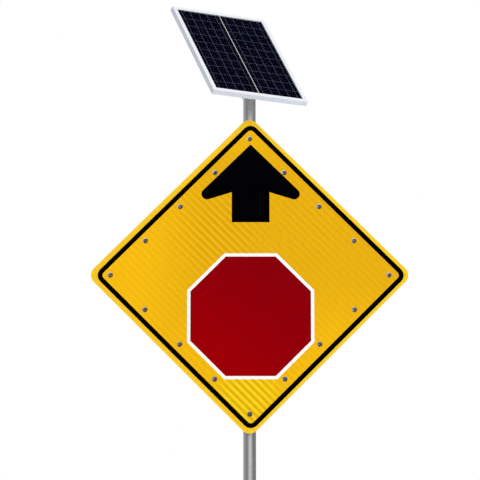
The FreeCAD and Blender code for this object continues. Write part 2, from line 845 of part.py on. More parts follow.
def make_cabinet_bolts():
    """Four bolts from inside the cabinet into its two rails, each with its nut in the rail."""
    bolt = screw_piece("cabinet_bolt_piece", CABINET_BOLT_RADIUS, "12", "10", "4")
    nut = nut_piece("cabinet_nut_piece", CABINET_BOLT_RADIUS + 0.05, "10", "5")
    copies = []
    for side in (1, -1):
        for level in (1, -1):
            x = f"{side} * cabinet_rail_length / 3"
            z = f"sign_height + {level} * cabinet_rail_spread"
            copies.append((bolt, at(x, f"{CABINET_BACK} + cabinet_wall", z, roll="90")))
            copies.append((nut, at(x, f"{CABINET_BACK} - rail_wall", z, roll="90")))
    group("cabinet_bolts", copies)


def make_glands():
    """Two cable glands in the cabinet's floor, for the panel lead and the LED lead."""
    piece = new_body("gland_piece")
    neck = f"{GLAND_RADIUS} - snug"
    revolve(piece, polygon(sketch_on(piece, "XZ_Plane"), [
        ("3.5", "8"), (neck, "8"), (neck, "0"), ("12", "0"), ("12", "-5"),
        ("10", "-5"), ("10", "-14"), ("6.5", "-19"), ("3.5", "-19"),
    ]), "Z_Axis")
    floor = "sign_height - cabinet_half_height"
    y = f"{CABINET_BACK} + cabinet_depth / 2"
    group("cable_glands", [(piece, at(f"{side * GLAND_OUT}", y, floor)) for side in (1, -1)])


def make_equipment_plate():
    """A folded plate that stands off the cabinet's back and carries the electrics."""
    body = new_body("equipment_plate", ON_CABINET)
    face = sketch_on(body, "XZ_Plane", "-cabinet_wall")
    rectangle(face, "-plate_half_width", "-plate_half_height", "plate_half_width", "plate_half_height")
    pad(body, face, "plate_standoff", backwards=True)
    inner = sketch_on(body, "XZ_Plane", "-cabinet_wall")
    rectangle(inner, "-plate_half_width + 2", f"-plate_half_height - {CUT_CLEAR}",
              "plate_half_width - 2", f"plate_half_height + {CUT_CLEAR}")
    cut(body, inner, "plate_standoff - 2", backwards=True)


def make_battery():
    place = at(y=PLATE_FRONT, z="sign_height - cabinet_half_height + cabinet_wall")
    body = new_body("battery", place)
    base = sketch_on(body, "XY_Plane")
    rectangle(base, "-battery_length / 2", "1", "battery_length / 2", "battery_depth + 1")
    pad(body, base, "battery_height")
    round_edges(body, "2", parallel_to(Vector(0, 0, 1)))
    tabs = sketch_on(body, "XY_Plane", "battery_height")
    for side in (1, -1):
        rectangle(tabs, f"{side} * 60 - 4", "battery_depth - 14", f"{side} * 60 + 4", "battery_depth - 4")
    pad(body, tabs, "6")


def make_battery_strap():
    """A strap bent round the battery and screwed to the equipment plate."""
    place = at(y=PLATE_FRONT, z="sign_height - cabinet_half_height + battery_height / 2")
    body = new_body("battery_strap", place)
    near = "(battery_length / 2 + 0.5)"
    front = "(battery_depth + 1.5)"
    ear = f"({near} + 12)"
    strap = polygon(sketch_on(body, "XY_Plane"), [
        (f"-{ear}", "0"), (f"-{near}", "0"), (f"-{near}", front), (near, front), (near, "0"), (ear, "0"),
        (ear, "1.5"), (f"{near} + 1.5", "1.5"), (f"{near} + 1.5", f"{front} + 1.5"),
        (f"-{near} - 1.5", f"{front} + 1.5"), (f"-{near} - 1.5", "1.5"), (f"-{ear}", "1.5"),
    ])
    pad(body, strap, "20", both=True)


ON_CONTROLLER = at(y=PLATE_FRONT, z=f"sign_height + {CONTROLLER_UP}")


def make_controller():
    """The charge controller and flasher, with cooling ribs, a switch recess and a button bore."""
    body = new_body("charge_controller", ON_CONTROLLER)
    base = sketch_on(body, "XZ_Plane")
    half_x, half_z = "controller_width / 2", "controller_height / 2"
    rectangle(base, f"-{half_x}", f"-{half_z}", half_x, half_z)
    pad(body, base, "controller_depth", backwards=True)
    round_edges(body, "3", parallel_to(Vector(0, 1, 0)))
    rib_gap = sketch_on(body, "XZ_Plane", "-controller_depth")
    rectangle(rib_gap, f"-{half_x} + 12", f"{half_z} - 12", f"{half_x} - 12", f"{half_z} - 9")
    slot = cut(body, rib_gap, "8")
    row = linear_pattern(body, slot, "Z_Axis", "24", 4)
    row.Reversed = True
    doc.recompute()
    recess = sketch_on(body, "XZ_Plane", "-controller_depth")
    rectangle(recess, SWITCH_OUT - 7, -CONTROL_DROP - 9, SWITCH_OUT + 7, 9 - CONTROL_DROP)
    cut(body, recess, "9")
    bore = sketch_on(body, "XZ_Plane", "-controller_depth")
    circle(bore, f"{BUTTON_OUT}", f"-{CONTROL_DROP}", f"{BUTTON_RADIUS} + turn_gap")
    cut(body, bore, "10")


def make_switch_lever():
    """A toggle lever, down for off; it turns about X in the recess of the controller."""
    place = at(f"{SWITCH_OUT}", f"{PLATE_FRONT} + controller_depth - 5.5",
               f"sign_height + {CONTROLLER_UP - CONTROL_DROP}", roll="-15")
    body = new_body("switch_lever", place)
    outline = polygon(sketch_on(body, "XY_Plane"), [
        ("0", "-2.5"), ("2.5", "-2.5"), ("2.5", "2"), ("1.4", "3"), ("2", "17"), ("1.4", "18"), ("0", "18"),
    ])
    revolve(body, outline)
    pad(body, circle(sketch_on(body, "YZ_Plane"), "0", "0", "1.2"), "13.2", both=True)


def make_test_button():
    place = at(f"{BUTTON_OUT}", f"{PLATE_FRONT} + controller_depth",
               f"sign_height + {CONTROLLER_UP - CONTROL_DROP}")
    body = new_body("test_button", place)
    face = circle(sketch_on(body, "XZ_Plane", "5"), "0", "0", BUTTON_RADIUS)
    pad(body, face, "8.5", backwards=True)

    def at_cap(edge):
        return isinstance(edge.Curve, Part.Circle) and abs(edge.BoundBox.YMax - 3.5) < 1e-6 \
            and edge.BoundBox.YLength < 1e-6
    round_edges(body, "1", at_cap)


def make_terminal_block():
    place = at(y=PLATE_FRONT, z="sign_height + 8")
    body = new_body("terminal_block", place)
    base = sketch_on(body, "XZ_Plane")
    rectangle(base, "-50", "-11", "50", "11")
    pad(body, base, "18", backwards=True)
    wells = sketch_on(body, "XZ_Plane", "-18")
    circle(wells, "-43.75", "0", "4")
    well = cut(body, wells, "8")
    linear_pattern(body, well, "X_Axis", "87.5", 8)


# ---------------------------------------------------------------- door


def make_door():
    """A shallow pressed tray that closes the cabinet, hung on its left side seen from behind."""
    body = new_body("cabinet_door", at(y=DOOR_BACK, z="sign_height"))
    half_x = "(cabinet_half_width - door_inset)"
    half_z = "cabinet_half_height"
    outer = sketch_on(body, "XZ_Plane")
    rectangle(outer, f"-{half_x}", f"-{half_z}", half_x, half_z)
    pad(body, outer, "door_depth", backwards=True)

    def front_edge(edge):
        return abs(edge.BoundBox.YMin - number("door_depth")) < 1e-6
    along_depth = parallel_to(Vector(0, 1, 0))
    round_edges(body, "3", lambda edge: along_depth(edge) or front_edge(edge))
    inner = sketch_on(body, "XZ_Plane")
    rectangle(inner, f"-{half_x} + 2", f"-{half_z} + 2", f"{half_x} - 2", f"{half_z} - 2")
    cut(body, inner, "door_depth - 2", backwards=True)
    hole = circle(sketch_on(body, "XZ_Plane"), "latch_out", "0", BUSHING_RADIUS + 0.1)
    cut(body, hole, "door_depth", backwards=True)


def make_door_gasket():
    body = new_body("door_gasket", at(y=DOOR_BACK, z="sign_height"))
    outer = ("(cabinet_half_width - 3)", "(cabinet_half_height - 3)")
    for inset, operation in (("0", pad), ("gasket_width", cut)):
        ring = sketch_on(body, "XZ_Plane")
        half_x, half_z = (f"({half} - {inset})" for half in outer)
        rectangle(ring, f"-{half_x}", f"-{half_z}", half_x, half_z)
        operation(body, ring, "door_depth - 2", backwards=True)


HINGE_LINE = f"({DOOR_BACK} + 5.2)"


def make_hinges():
    """Two weld-on hinges: outer barrels on the cabinet, a middle barrel on the door, and a pin."""
    low_to_side = "hinge_out - cabinet_half_width"
    tail = f"-({HINGE_LINE} - {CABINET_FRONT} + 26)"

    outer_barrel = new_body("outer_barrel_piece")
    start = f"({KNUCKLE_HALF} + {KNUCKLE_GAP})"
    length = f"hinge_half - {start}"
    tab = rectangle(sketch_on(outer_barrel, "XY_Plane", start), "2", tail, low_to_side, "0")
    pad(outer_barrel, tab, length)
    pad(outer_barrel, circle(sketch_on(outer_barrel, "XY_Plane", start), "0", "0", "hinge_barrel"), length)
    bore = circle(sketch_on(outer_barrel, "XY_Plane", start), "0", "0", "hinge_pin + 0.05")
    cut(outer_barrel, bore, length)

    door_barrel = new_body("door_barrel_piece")
    reach = f"{low_to_side} + door_inset"
    length = f"2 * ({KNUCKLE_HALF} - {KNUCKLE_GAP})"
    tab = rectangle(sketch_on(door_barrel, "XY_Plane"), "2", "0", reach, "5.5")
    pad(door_barrel, tab, length, both=True)
    pad(door_barrel, circle(sketch_on(door_barrel, "XY_Plane"), "0", "0", "hinge_barrel"), length, both=True)
    bore = circle(sketch_on(door_barrel, "XY_Plane"), "0", "0", "hinge_pin + 0.08")
    cut(door_barrel, bore, length, both=True)

    pin = new_body("hinge_pin_piece")
    pad(pin, circle(sketch_on(pin, "XY_Plane"), "0", "0", "hinge_pin"), "2 * hinge_half", both=True)
    cap = circle(sketch_on(pin, "XY_Plane", "hinge_half"), "0", "0", "hinge_pin * 1.6")
    pad(pin, cap, "1.5")

    fixed, moving, pins = [], [], []
    for level in (1, -1):
        height = f"sign_height + {level} * hinge_spread"
        middle = at("-hinge_out", HINGE_LINE, height)
        below = at("-hinge_out", HINGE_LINE, f"{height} - hinge_half - {start}")
        fixed += [(outer_barrel, middle), (outer_barrel, below)]
        moving.append((door_barrel, middle))
        pins.append((pin, middle))
    group("hinge_barrels_cabinet", fixed)
    group("hinge_barrels_door", moving)
    group("hinge_pins", pins)


ON_LATCH = at("latch_out", DOOR_FRONT, "sign_height")


def make_latch():
    """A quarter-turn latch: its bushing in the door, and its handle, shaft and cam in one piece."""
    bushing = new_body("latch_bushing", ON_LATCH)
    revolve(bushing, polygon(sketch_on(bushing, "XY_Plane"), [
        ("latch_shaft + snug", "-door_depth"), (BUSHING_RADIUS, "-door_depth"), (BUSHING_RADIUS, "0"),
        ("14", "0"), ("14", "2"), ("13", "3"), ("latch_shaft + snug", "3"),
    ]))
    cam = new_body("latch_cam", ON_LATCH)
    pad(cam, circle(sketch_on(cam, "XZ_Plane", "15.5"), "0", "0", "latch_shaft"), "19", backwards=True)
    handle = sketch_on(cam, "XZ_Plane", "-3.3")
    rectangle(handle, "-5", "-20", "5", "20")
    pad(cam, handle, "9", backwards=True)
    round_edges(cam, "3", lambda edge: parallel_to(Vector(0, 1, 0))(edge) and edge.Length > 8.9)
    tongue = sketch_on(cam, "XZ_Plane", "15.5")
    rectangle(tongue, "-6", "-8", "6", "22")
    pad(cam, tongue, "3")


# ---------------------------------------------------------------- mast head


def make_collar():
    """A cast cap over the post's top; it turns on the post when its screws are slack."""
    body = new_body("mast_collar", ON_HEAD)
    top = "-(yoke_rise + yoke_plate)"
    skirt = f"({top} - collar_cap - turn_gap - collar_length)"
    length = "collar_length + collar_cap + turn_gap"
    outer = "post_radius + turn_gap + collar_wall"
    pad(body, circle(sketch_on(body, "XY_Plane", skirt), "0", "0", outer), length)
    round_edges(body, "2", lambda edge: abs(edge.BoundBox.ZMin - number(top)) < 1e-6)
    bore = circle(sketch_on(body, "XY_Plane", skirt), "0", "0", "post_radius + turn_gap")
    cut(body, bore, "collar_length + turn_gap")
    cut(body, circle(sketch_on(body, "XY_Plane", skirt), "0", "0", "pivot_bolt + snug"), length)
    level = f"{top} - collar_cap - {COLLAR_SCREW_DROP}"
    hole = circle(sketch_on(body, "YZ_Plane"), "0", level, "bolt_radius")
    polar_pattern(body, cut(body, hole, "2 * post_radius"), "Z_Axis", COLLAR_SCREWS)


def make_collar_screws():
    """Hex screws through the collar's wall, which grip the post."""
    piece = new_body("collar_screw_piece")
    tip = "(post_radius + turn_gap)"
    shank = circle(sketch_on(piece, "YZ_Plane", tip), "0", "0", "bolt_radius - 0.05")
    pad(piece, shank, "collar_wall + 3")
    hexagon = regular_polygon(sketch_on(piece, "YZ_Plane", f"{tip} + collar_wall + 1"), 6, "13")
    pad(piece, hexagon, "5.5")
    height = f"{COLLAR_TOP} - collar_cap - {COLLAR_SCREW_DROP}"
    turns = [360 / COLLAR_SCREWS * k for k in range(COLLAR_SCREWS)]
    group("collar_screws", [(piece, at(z=height, yaw=f"panel_yaw + {turn}")) for turn in turns])


def make_yoke():
    """A U bracket on the collar; its two ears hold the tilt pivot above and the lock bolt below."""
    body = new_body("tilt_yoke", ON_HEAD)
    base = sketch_on(body, "XY_Plane", "-(yoke_rise + yoke_plate)")
    rectangle(base, "-yoke_half", "-25", "yoke_half", "25")
    pad(body, base, "yoke_plate")
    cut(body, circle(sketch_on(body, "XY_Plane", "-(yoke_rise + yoke_plate)"), "0", "0", "pivot_bolt + snug"),
        "yoke_plate")
    for inner in ("yoke_half - yoke_plate", "-yoke_half"):
        for shape in ("blade", "tip"):
            ear = sketch_on(body, "YZ_Plane", inner)
            if shape == "blade":
                rectangle(ear, "-20", "-yoke_rise - 1", "20", "0")
            else:
                circle(ear, "0", "0", "20")
            pad(body, ear, "yoke_plate")
    for height, radius in (("0", "pivot_bolt + 0.05"), ("-lock_radius", "lock_bolt + 0.05")):
        hole = circle(sketch_on(body, "YZ_Plane"), "0", height, radius)
        cut(body, hole, "2 * yoke_half + 2", both=True)


def make_head_bolts():
    """The tilt pivot, the lock bolt and the collar's cap bolt, each with its nut."""
    grip = "(yoke_half + turn_gap + bracket_plate + turn_gap)"
    for label, radius, height, flats in (
        ("pivot_bolt", "pivot_bolt", "0", "17"),
        ("lock_bolt", "lock_bolt", "-lock_radius", "13"),
    ):
        body = new_body(label + "_shank")
        shank = circle(sketch_on(body, "YZ_Plane", f"-({grip} + 9)"), "0", height, radius)
        pad(body, shank, f"2 * {grip} + 12")
        hexagon = regular_polygon(sketch_on(body, "YZ_Plane", grip), 6, flats, y=height)
        pad(body, hexagon, "6.4")
        nut = new_body(label + "_nut")
        hexagon = regular_polygon(sketch_on(nut, "YZ_Plane", f"-{grip}"), 6, flats, y=height)
        pad(nut, hexagon, "6.4", backwards=True)
        bore = circle(sketch_on(nut, "YZ_Plane", f"-{grip}"), "0", height, f"{radius} + 0.05")
        cut(nut, bore, "6.4", backwards=True)
        group(label, [(body, at()), (nut, at())], ON_HEAD)
    cap_bolt = screw_piece("cap_bolt_shank", "pivot_bolt", "yoke_plate + collar_cap + 11", "17", "6.4")
    cap_nut = nut_piece("cap_nut_piece", "pivot_bolt + 0.05", "17", "8")
    top = "-yoke_rise"
    under = "-(yoke_rise + yoke_plate + collar_cap)"
    group("cap_bolt", [(cap_bolt, at(z=top, roll="180")), (cap_nut, at(z=under, roll="180"))], ON_HEAD)


# ---------------------------------------------------------------- solar panel


def make_tilt_bracket():
    """The plate behind the panel, with two ears outside the yoke and their curved lock slots."""
    body = new_body("tilt_bracket", ON_PANEL)
    base = sketch_on(body, "XY_Plane", "bracket_rise")
    half_v = "(cross_rail_spread + cross_rail_half)"
    rectangle(base, "-40", f"-{half_v}", "40", half_v)
    pad(body, base, "bracket_plate")
    inner = "(yoke_half + turn_gap)"
    for start in (inner, f"-({inner} + bracket_plate)"):
        blade = sketch_on(body, "YZ_Plane", start)
        rectangle(blade, "-bracket_ear", "0", "bracket_ear", "bracket_rise + 1")
        pad(body, blade, "bracket_plate")
        pad(body, circle(sketch_on(body, "YZ_Plane", start), "0", "0", "bracket_ear"), "bracket_plate")
    above = sketch_on(body, "YZ_Plane")
    rectangle(above, f"-bracket_ear - {CUT_CLEAR}", RAIL_BACK, f"bracket_ear + {CUT_CLEAR}",
              f"bracket_ear + {CUT_CLEAR}")
    wide = "2 * yoke_half + 4 * bracket_plate"
    cut(body, above, wide, both=True)
    cut(body, circle(sketch_on(body, "YZ_Plane"), "0", "0", "pivot_bolt + turn_gap"), wide, both=True)
    slot = sketch_on(body, "XY_Plane", turn="90 - tilt_highest")
    slot_half = "(lock_bolt + turn_gap)"
    reach = "(yoke_half + 3 * bracket_plate)"
    rectangle(slot, f"-{reach}", f"-lock_radius - {slot_half}", reach, f"-lock_radius + {slot_half}")
    groove(body, slot, "X_Axis", "tilt_highest - tilt_lowest")
    for tilt in ("tilt_lowest", "tilt_highest"):
        up, out = f"-lock_radius * sin({tilt})", f"-lock_radius * cos({tilt})"
        cut(body, circle(sketch_on(body, "YZ_Plane"), up, out, slot_half), wide, both=True)
    holes = sketch_on(body, "XY_Plane", "bracket_rise")
    for side in (1, -1):
        for level in (1, -1):
            circle(holes, f"{side * BRACKET_BOLT_OUT}", f"{level} * cross_rail_spread", PANEL_BOLT_HOLE)
    cut(body, holes, "bracket_plate")


def frame_bolt_spots():
    """Where the cross rails are bolted to the panel frame's foot."""
    half = f"(panel_width / 2 - {FRAME_BOLT_IN})"
    return [
        (f"panel_side + {side} * {half}", f"{level} * cross_rail_spread")
        for side in (1, -1) for level in (1, -1)
    ]


def make_cross_rails():
    """Two rectangular tubes across the panel's back, which end short of its edges."""
    for level, name in ((1, "upper"), (-1, "lower")):
        body = new_body(f"cross_rail_{name}", ON_PANEL)
        for wall, operation in (("0", pad), ("cross_rail_wall", cut)):
            section = sketch_on(body, "YZ_Plane", "panel_side")
            middle = f"{level} * cross_rail_spread"
            half = f"(cross_rail_half - {wall})"
            rectangle(section, f"{middle} - {half}", f"{RAIL_BACK} + {wall}",
                      f"{middle} + {half}", f"{FRAME_BACK} - {wall}")
            operation(body, section, "panel_width - 2 * cross_rail_inset", both=True)
        holes = sketch_on(body, "XY_Plane", RAIL_BACK)
        spots = [(x, y) for x, y in frame_bolt_spots() if number(y) * level > 0]
        spots += [(f"{side * BRACKET_BOLT_OUT}", f"{level} * cross_rail_spread") for side in (1, -1)]
        for x, y in spots:
            circle(holes, x, y, PANEL_BOLT_HOLE)
        cut(body, holes, "cross_rail_depth")


def frame_profile():
    """The frame's section, as (inward from the edge, forward) pairs of expressions."""
    foot_top = f"{FRAME_BACK} + frame_wall"
    ledge_top = f"{CELL_BACK} - 1"
    ledge_back = f"{CELL_BACK} - 2.4"
    return [
        ("0", FRAME_BACK), ("frame_foot", FRAME_BACK), ("frame_foot", foot_top), ("frame_wall", foot_top),
        ("frame_wall", ledge_back), ("frame_ledge", ledge_back), ("frame_ledge", ledge_top),
        ("frame_wall", ledge_top), ("frame_wall", GLASS_TOP), ("frame_lip", GLASS_TOP),
        ("frame_lip", FRAME_FRONT), ("0", FRAME_FRONT),
    ]


def make_frame_rails():
    """Four extruded rails with mitred ends."""
    sides = [
        ("panel_frame_bottom", "YZ_Plane", 1, "panel_width", "panel_height"),
        ("panel_frame_top", "YZ_Plane", -1, "panel_width", "panel_height"),
        ("panel_frame_left", "XZ_Plane", 1, "panel_height", "panel_width"),
        ("panel_frame_right", "XZ_Plane", -1, "panel_height", "panel_width"),
    ]
    for label, plane, inward, length, across in sides:
        lengthwise = plane == "YZ_Plane"
        centre = "panel_up" if lengthwise else "panel_side"
        edge = f"({centre} - {inward} * {across} / 2)"
        body = new_body(label, ON_PANEL)
        middle = "panel_side" if lengthwise else "-panel_up"
        section = sketch_on(body, plane, middle)
        polygon(section, [(f"{edge} + {inward} * ({w})", n) for w, n in frame_profile()])
        pad(body, section, length, both=True)
        deep = "(frame_foot + 2)"
        for end in (1, -1):
            along = "panel_side" if lengthwise else "panel_up"
            tip = f"{along} + {end} * {length} / 2"
            corner = [(tip, edge), (tip, f"{edge} + {inward} * {deep}"),
                      (f"{tip} - {end} * {deep}", f"{edge} + {inward} * {deep}")]
            points = corner if lengthwise else [(y, x) for x, y in corner]
            mitre = polygon(sketch_on(body, "XY_Plane", FRAME_BACK), points)
            cut(body, mitre, "panel_depth")
        if not lengthwise:
            holes = sketch_on(body, "XY_Plane", FRAME_BACK)
            for x, y in frame_bolt_spots():
                if (number(x) - number("panel_side")) * inward < 0:
                    circle(holes, x, y, PANEL_BOLT_HOLE)
            cut(body, holes, "frame_wall")


def make_laminate():
    """Glass, backsheet and the two columns of cells between them."""
    inset = "(frame_wall + 1)"
    half_x = f"(panel_width / 2 - {inset})"
    half_y = f"(panel_height / 2 - {inset})"
    layers = [
        ("panel_glass", CELL_TOP, "glass_thickness"),
        ("panel_backsheet", f"({CELL_BACK} - {BACKSHEET_THICKNESS})", str(BACKSHEET_THICKNESS)),
    ]
    for label, back, thickness in layers:
        body = new_body(label, ON_PANEL)
        face = sketch_on(body, "XY_Plane", back)
        rectangle(face, f"panel_side - {half_x}", f"panel_up - {half_y}",
                  f"panel_side + {half_x}", f"panel_up + {half_y}")
        pad(body, face, thickness)

    column_pitch = "((panel_width - 2 * cell_margin + column_gap) / cell_columns)"
    row_pitch = "((panel_height - 2 * cell_margin + cell_gap) / cell_rows)"
    cell = new_body("cell_piece")
    face = sketch_on(cell, "XY_Plane", CELL_BACK)
    rectangle(face, "0", "0", f"{column_pitch} - column_gap", f"{row_pitch} - cell_gap")
    pad(cell, face, "cell_thickness")
    copies = []
    for column in range(DIMENSIONS["cell_columns"]):
        for step in range(DIMENSIONS["cell_rows"]):
            x = f"panel_side - panel_width / 2 + cell_margin + {column} * {column_pitch}"
            y = f"panel_up - panel_height / 2 + cell_margin + {step} * {row_pitch}"
            copies.append((cell, at(x, y)))
    group("solar_cells", copies, ON_PANEL)


def make_junction_box():
    """The box on the panel's back where its two leads start, and its snap-on lid."""
    back = f"({CELL_BACK} - {BACKSHEET_THICKNESS})"
    middle = f"(panel_up + {JUNCTION_UP})"
    body = new_body("junction_box", ON_PANEL)
    for inset, length, operation in ((0, "16", pad), (2, "14", cut)):
        face = sketch_on(body, "XY_Plane", f"{back} - 16")
        rectangle(face, f"panel_side - {50 - inset}", f"{middle} - {32 - inset}",
                  f"panel_side + {50 - inset}", f"{middle} + {32 - inset}")
        operation(body, face, length)
    outlets = sketch_on(body, "XZ_Plane", f"-({middle} - 32)")
    for side in (1, -1):
        circle(outlets, f"panel_side + {side * 28}", f"{back} - 8", "5")
    pad(body, outlets, "12")
    bores = sketch_on(body, "XZ_Plane", f"-({middle} - 31)")
    for side in (1, -1):
        circle(bores, f"panel_side + {side * 28}", f"{back} - 8", "3")
    cut(body, bores, "13")
    lid = new_body("junction_box_lid", ON_PANEL)
    face = sketch_on(lid, "XY_Plane", f"{back} - 18.5")
    rectangle(face, "panel_side - 52", f"{middle} - 34", "panel_side + 52", f"{middle} + 34")
    pad(lid, face, "2.5")
    round_edges(lid, "4", parallel_to(Vector(0, 0, 1)))


def make_panel_bolts():
    """Eight bolts with nuts: four hold the bracket to the cross rails, four the rails to the frame."""
    bolt = screw_piece("panel_bolt_piece", PANEL_BOLT_RADIUS, "30", "10", "4")
    nut = nut_piece("panel_nut_piece", PANEL_BOLT_RADIUS + 0.05, "10", "5")
    copies = []
    for side in (1, -1):
        for level in (1, -1):
            x, y = f"{side * BRACKET_BOLT_OUT}", f"{level} * cross_rail_spread"
            copies += [(bolt, at(x, y, "bracket_rise")), (nut, at(x, y, FRAME_BACK))]
    for x, y in frame_bolt_spots():
        copies += [(bolt, at(x, y, RAIL_BACK)), (nut, at(x, y, f"{FRAME_BACK} + frame_wall"))]
    group("panel_bolts", copies, ON_PANEL)


# ---------------------------------------------------------------- build and export


def make_everything():
    make_post()
    make_sign_blank()
    make_sheeting()
    make_border()
    make_arrow()
    make_octagons()
    make_led_ring()
    make_wire_channels()
    make_led_harness()
    make_sign_rails()
    make_rivets()
    make_clips()
    make_clip_hardware()
    make_cabinet_rails()
    make_cabinet_body()
    make_cabinet_bolts()
    make_glands()
    make_equipment_plate()
    make_battery()
    make_battery_strap()
    make_controller()
    make_switch_lever()
    make_test_button()
    make_terminal_block()
    make_door()
    make_door_gasket()
    make_hinges()
    make_latch()
    make_collar()
    make_collar_screws()
    make_yoke()
    make_head_bolts()
    make_tilt_bracket()
    make_cross_rails()
    make_frame_rails()
    make_laminate()
    make_junction_box()
    make_panel_bolts()


def check_everything():
    doc.recompute()
    for item in doc.Objects:
        if "Invalid" in item.State or "Error" in item.State:
            raise RuntimeError(f"{item.Label} failed: {item.State}")
    for part in sub_parts:
        if part.Shape.isNull() or not part.Shape.isValid() or not part.Shape.Solids:
            raise RuntimeError(f"{part.Label} has no valid solid")


def export_everything():
    os.makedirs("parts", exist_ok=True)
    for part in sub_parts:
        part.Shape.exportStep(f"parts/{part.Label}.step")
        print(part.Label, len(part.Shape.Solids), round(part.Shape.Volume))


make_everything()
check_everything()
export_everything()
print(len(sub_parts), "sub-parts")
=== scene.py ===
import json
import math

import bmesh
import bpy
from mathutils import Matrix, Vector


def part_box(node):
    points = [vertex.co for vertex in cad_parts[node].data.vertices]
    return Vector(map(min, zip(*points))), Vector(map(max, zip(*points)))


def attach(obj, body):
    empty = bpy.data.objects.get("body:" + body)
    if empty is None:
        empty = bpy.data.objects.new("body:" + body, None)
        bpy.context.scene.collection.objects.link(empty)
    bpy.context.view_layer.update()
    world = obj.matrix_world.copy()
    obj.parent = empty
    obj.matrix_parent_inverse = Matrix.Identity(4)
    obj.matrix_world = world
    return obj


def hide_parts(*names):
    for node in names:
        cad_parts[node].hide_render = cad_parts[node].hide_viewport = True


# The looks of a solar-powered "stop ahead" symbol sign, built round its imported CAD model.
# Metres, +Z up; the sign faces -Y and the post's foot is the origin.

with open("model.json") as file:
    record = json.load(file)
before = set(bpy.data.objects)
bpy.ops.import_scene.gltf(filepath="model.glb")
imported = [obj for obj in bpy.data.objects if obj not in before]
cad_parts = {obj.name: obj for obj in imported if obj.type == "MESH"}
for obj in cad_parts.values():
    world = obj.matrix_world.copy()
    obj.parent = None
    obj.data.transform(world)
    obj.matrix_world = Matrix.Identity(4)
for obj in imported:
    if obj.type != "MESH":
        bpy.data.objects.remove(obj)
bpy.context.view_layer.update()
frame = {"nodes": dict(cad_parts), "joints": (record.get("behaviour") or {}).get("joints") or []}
NODES = frame["nodes"]
MM = 0.001
ROOT_HALF = math.sqrt(0.5)
ACROSS, BACK, UP = Vector((1, 0, 0)), Vector((0, 1, 0)), Vector((0, 0, 1))
ROW = Matrix((ACROSS, BACK, UP))


def middle_of(node):
    """The middle of a CAD node's box."""
    low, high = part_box(node)
    return (low + high) / 2


def joint(name):
    """A joint of the frame, found by its name."""
    return next(j for j in frame["joints"] if j["name"] == name)


# ---------------------------------------------------------------- node graphs


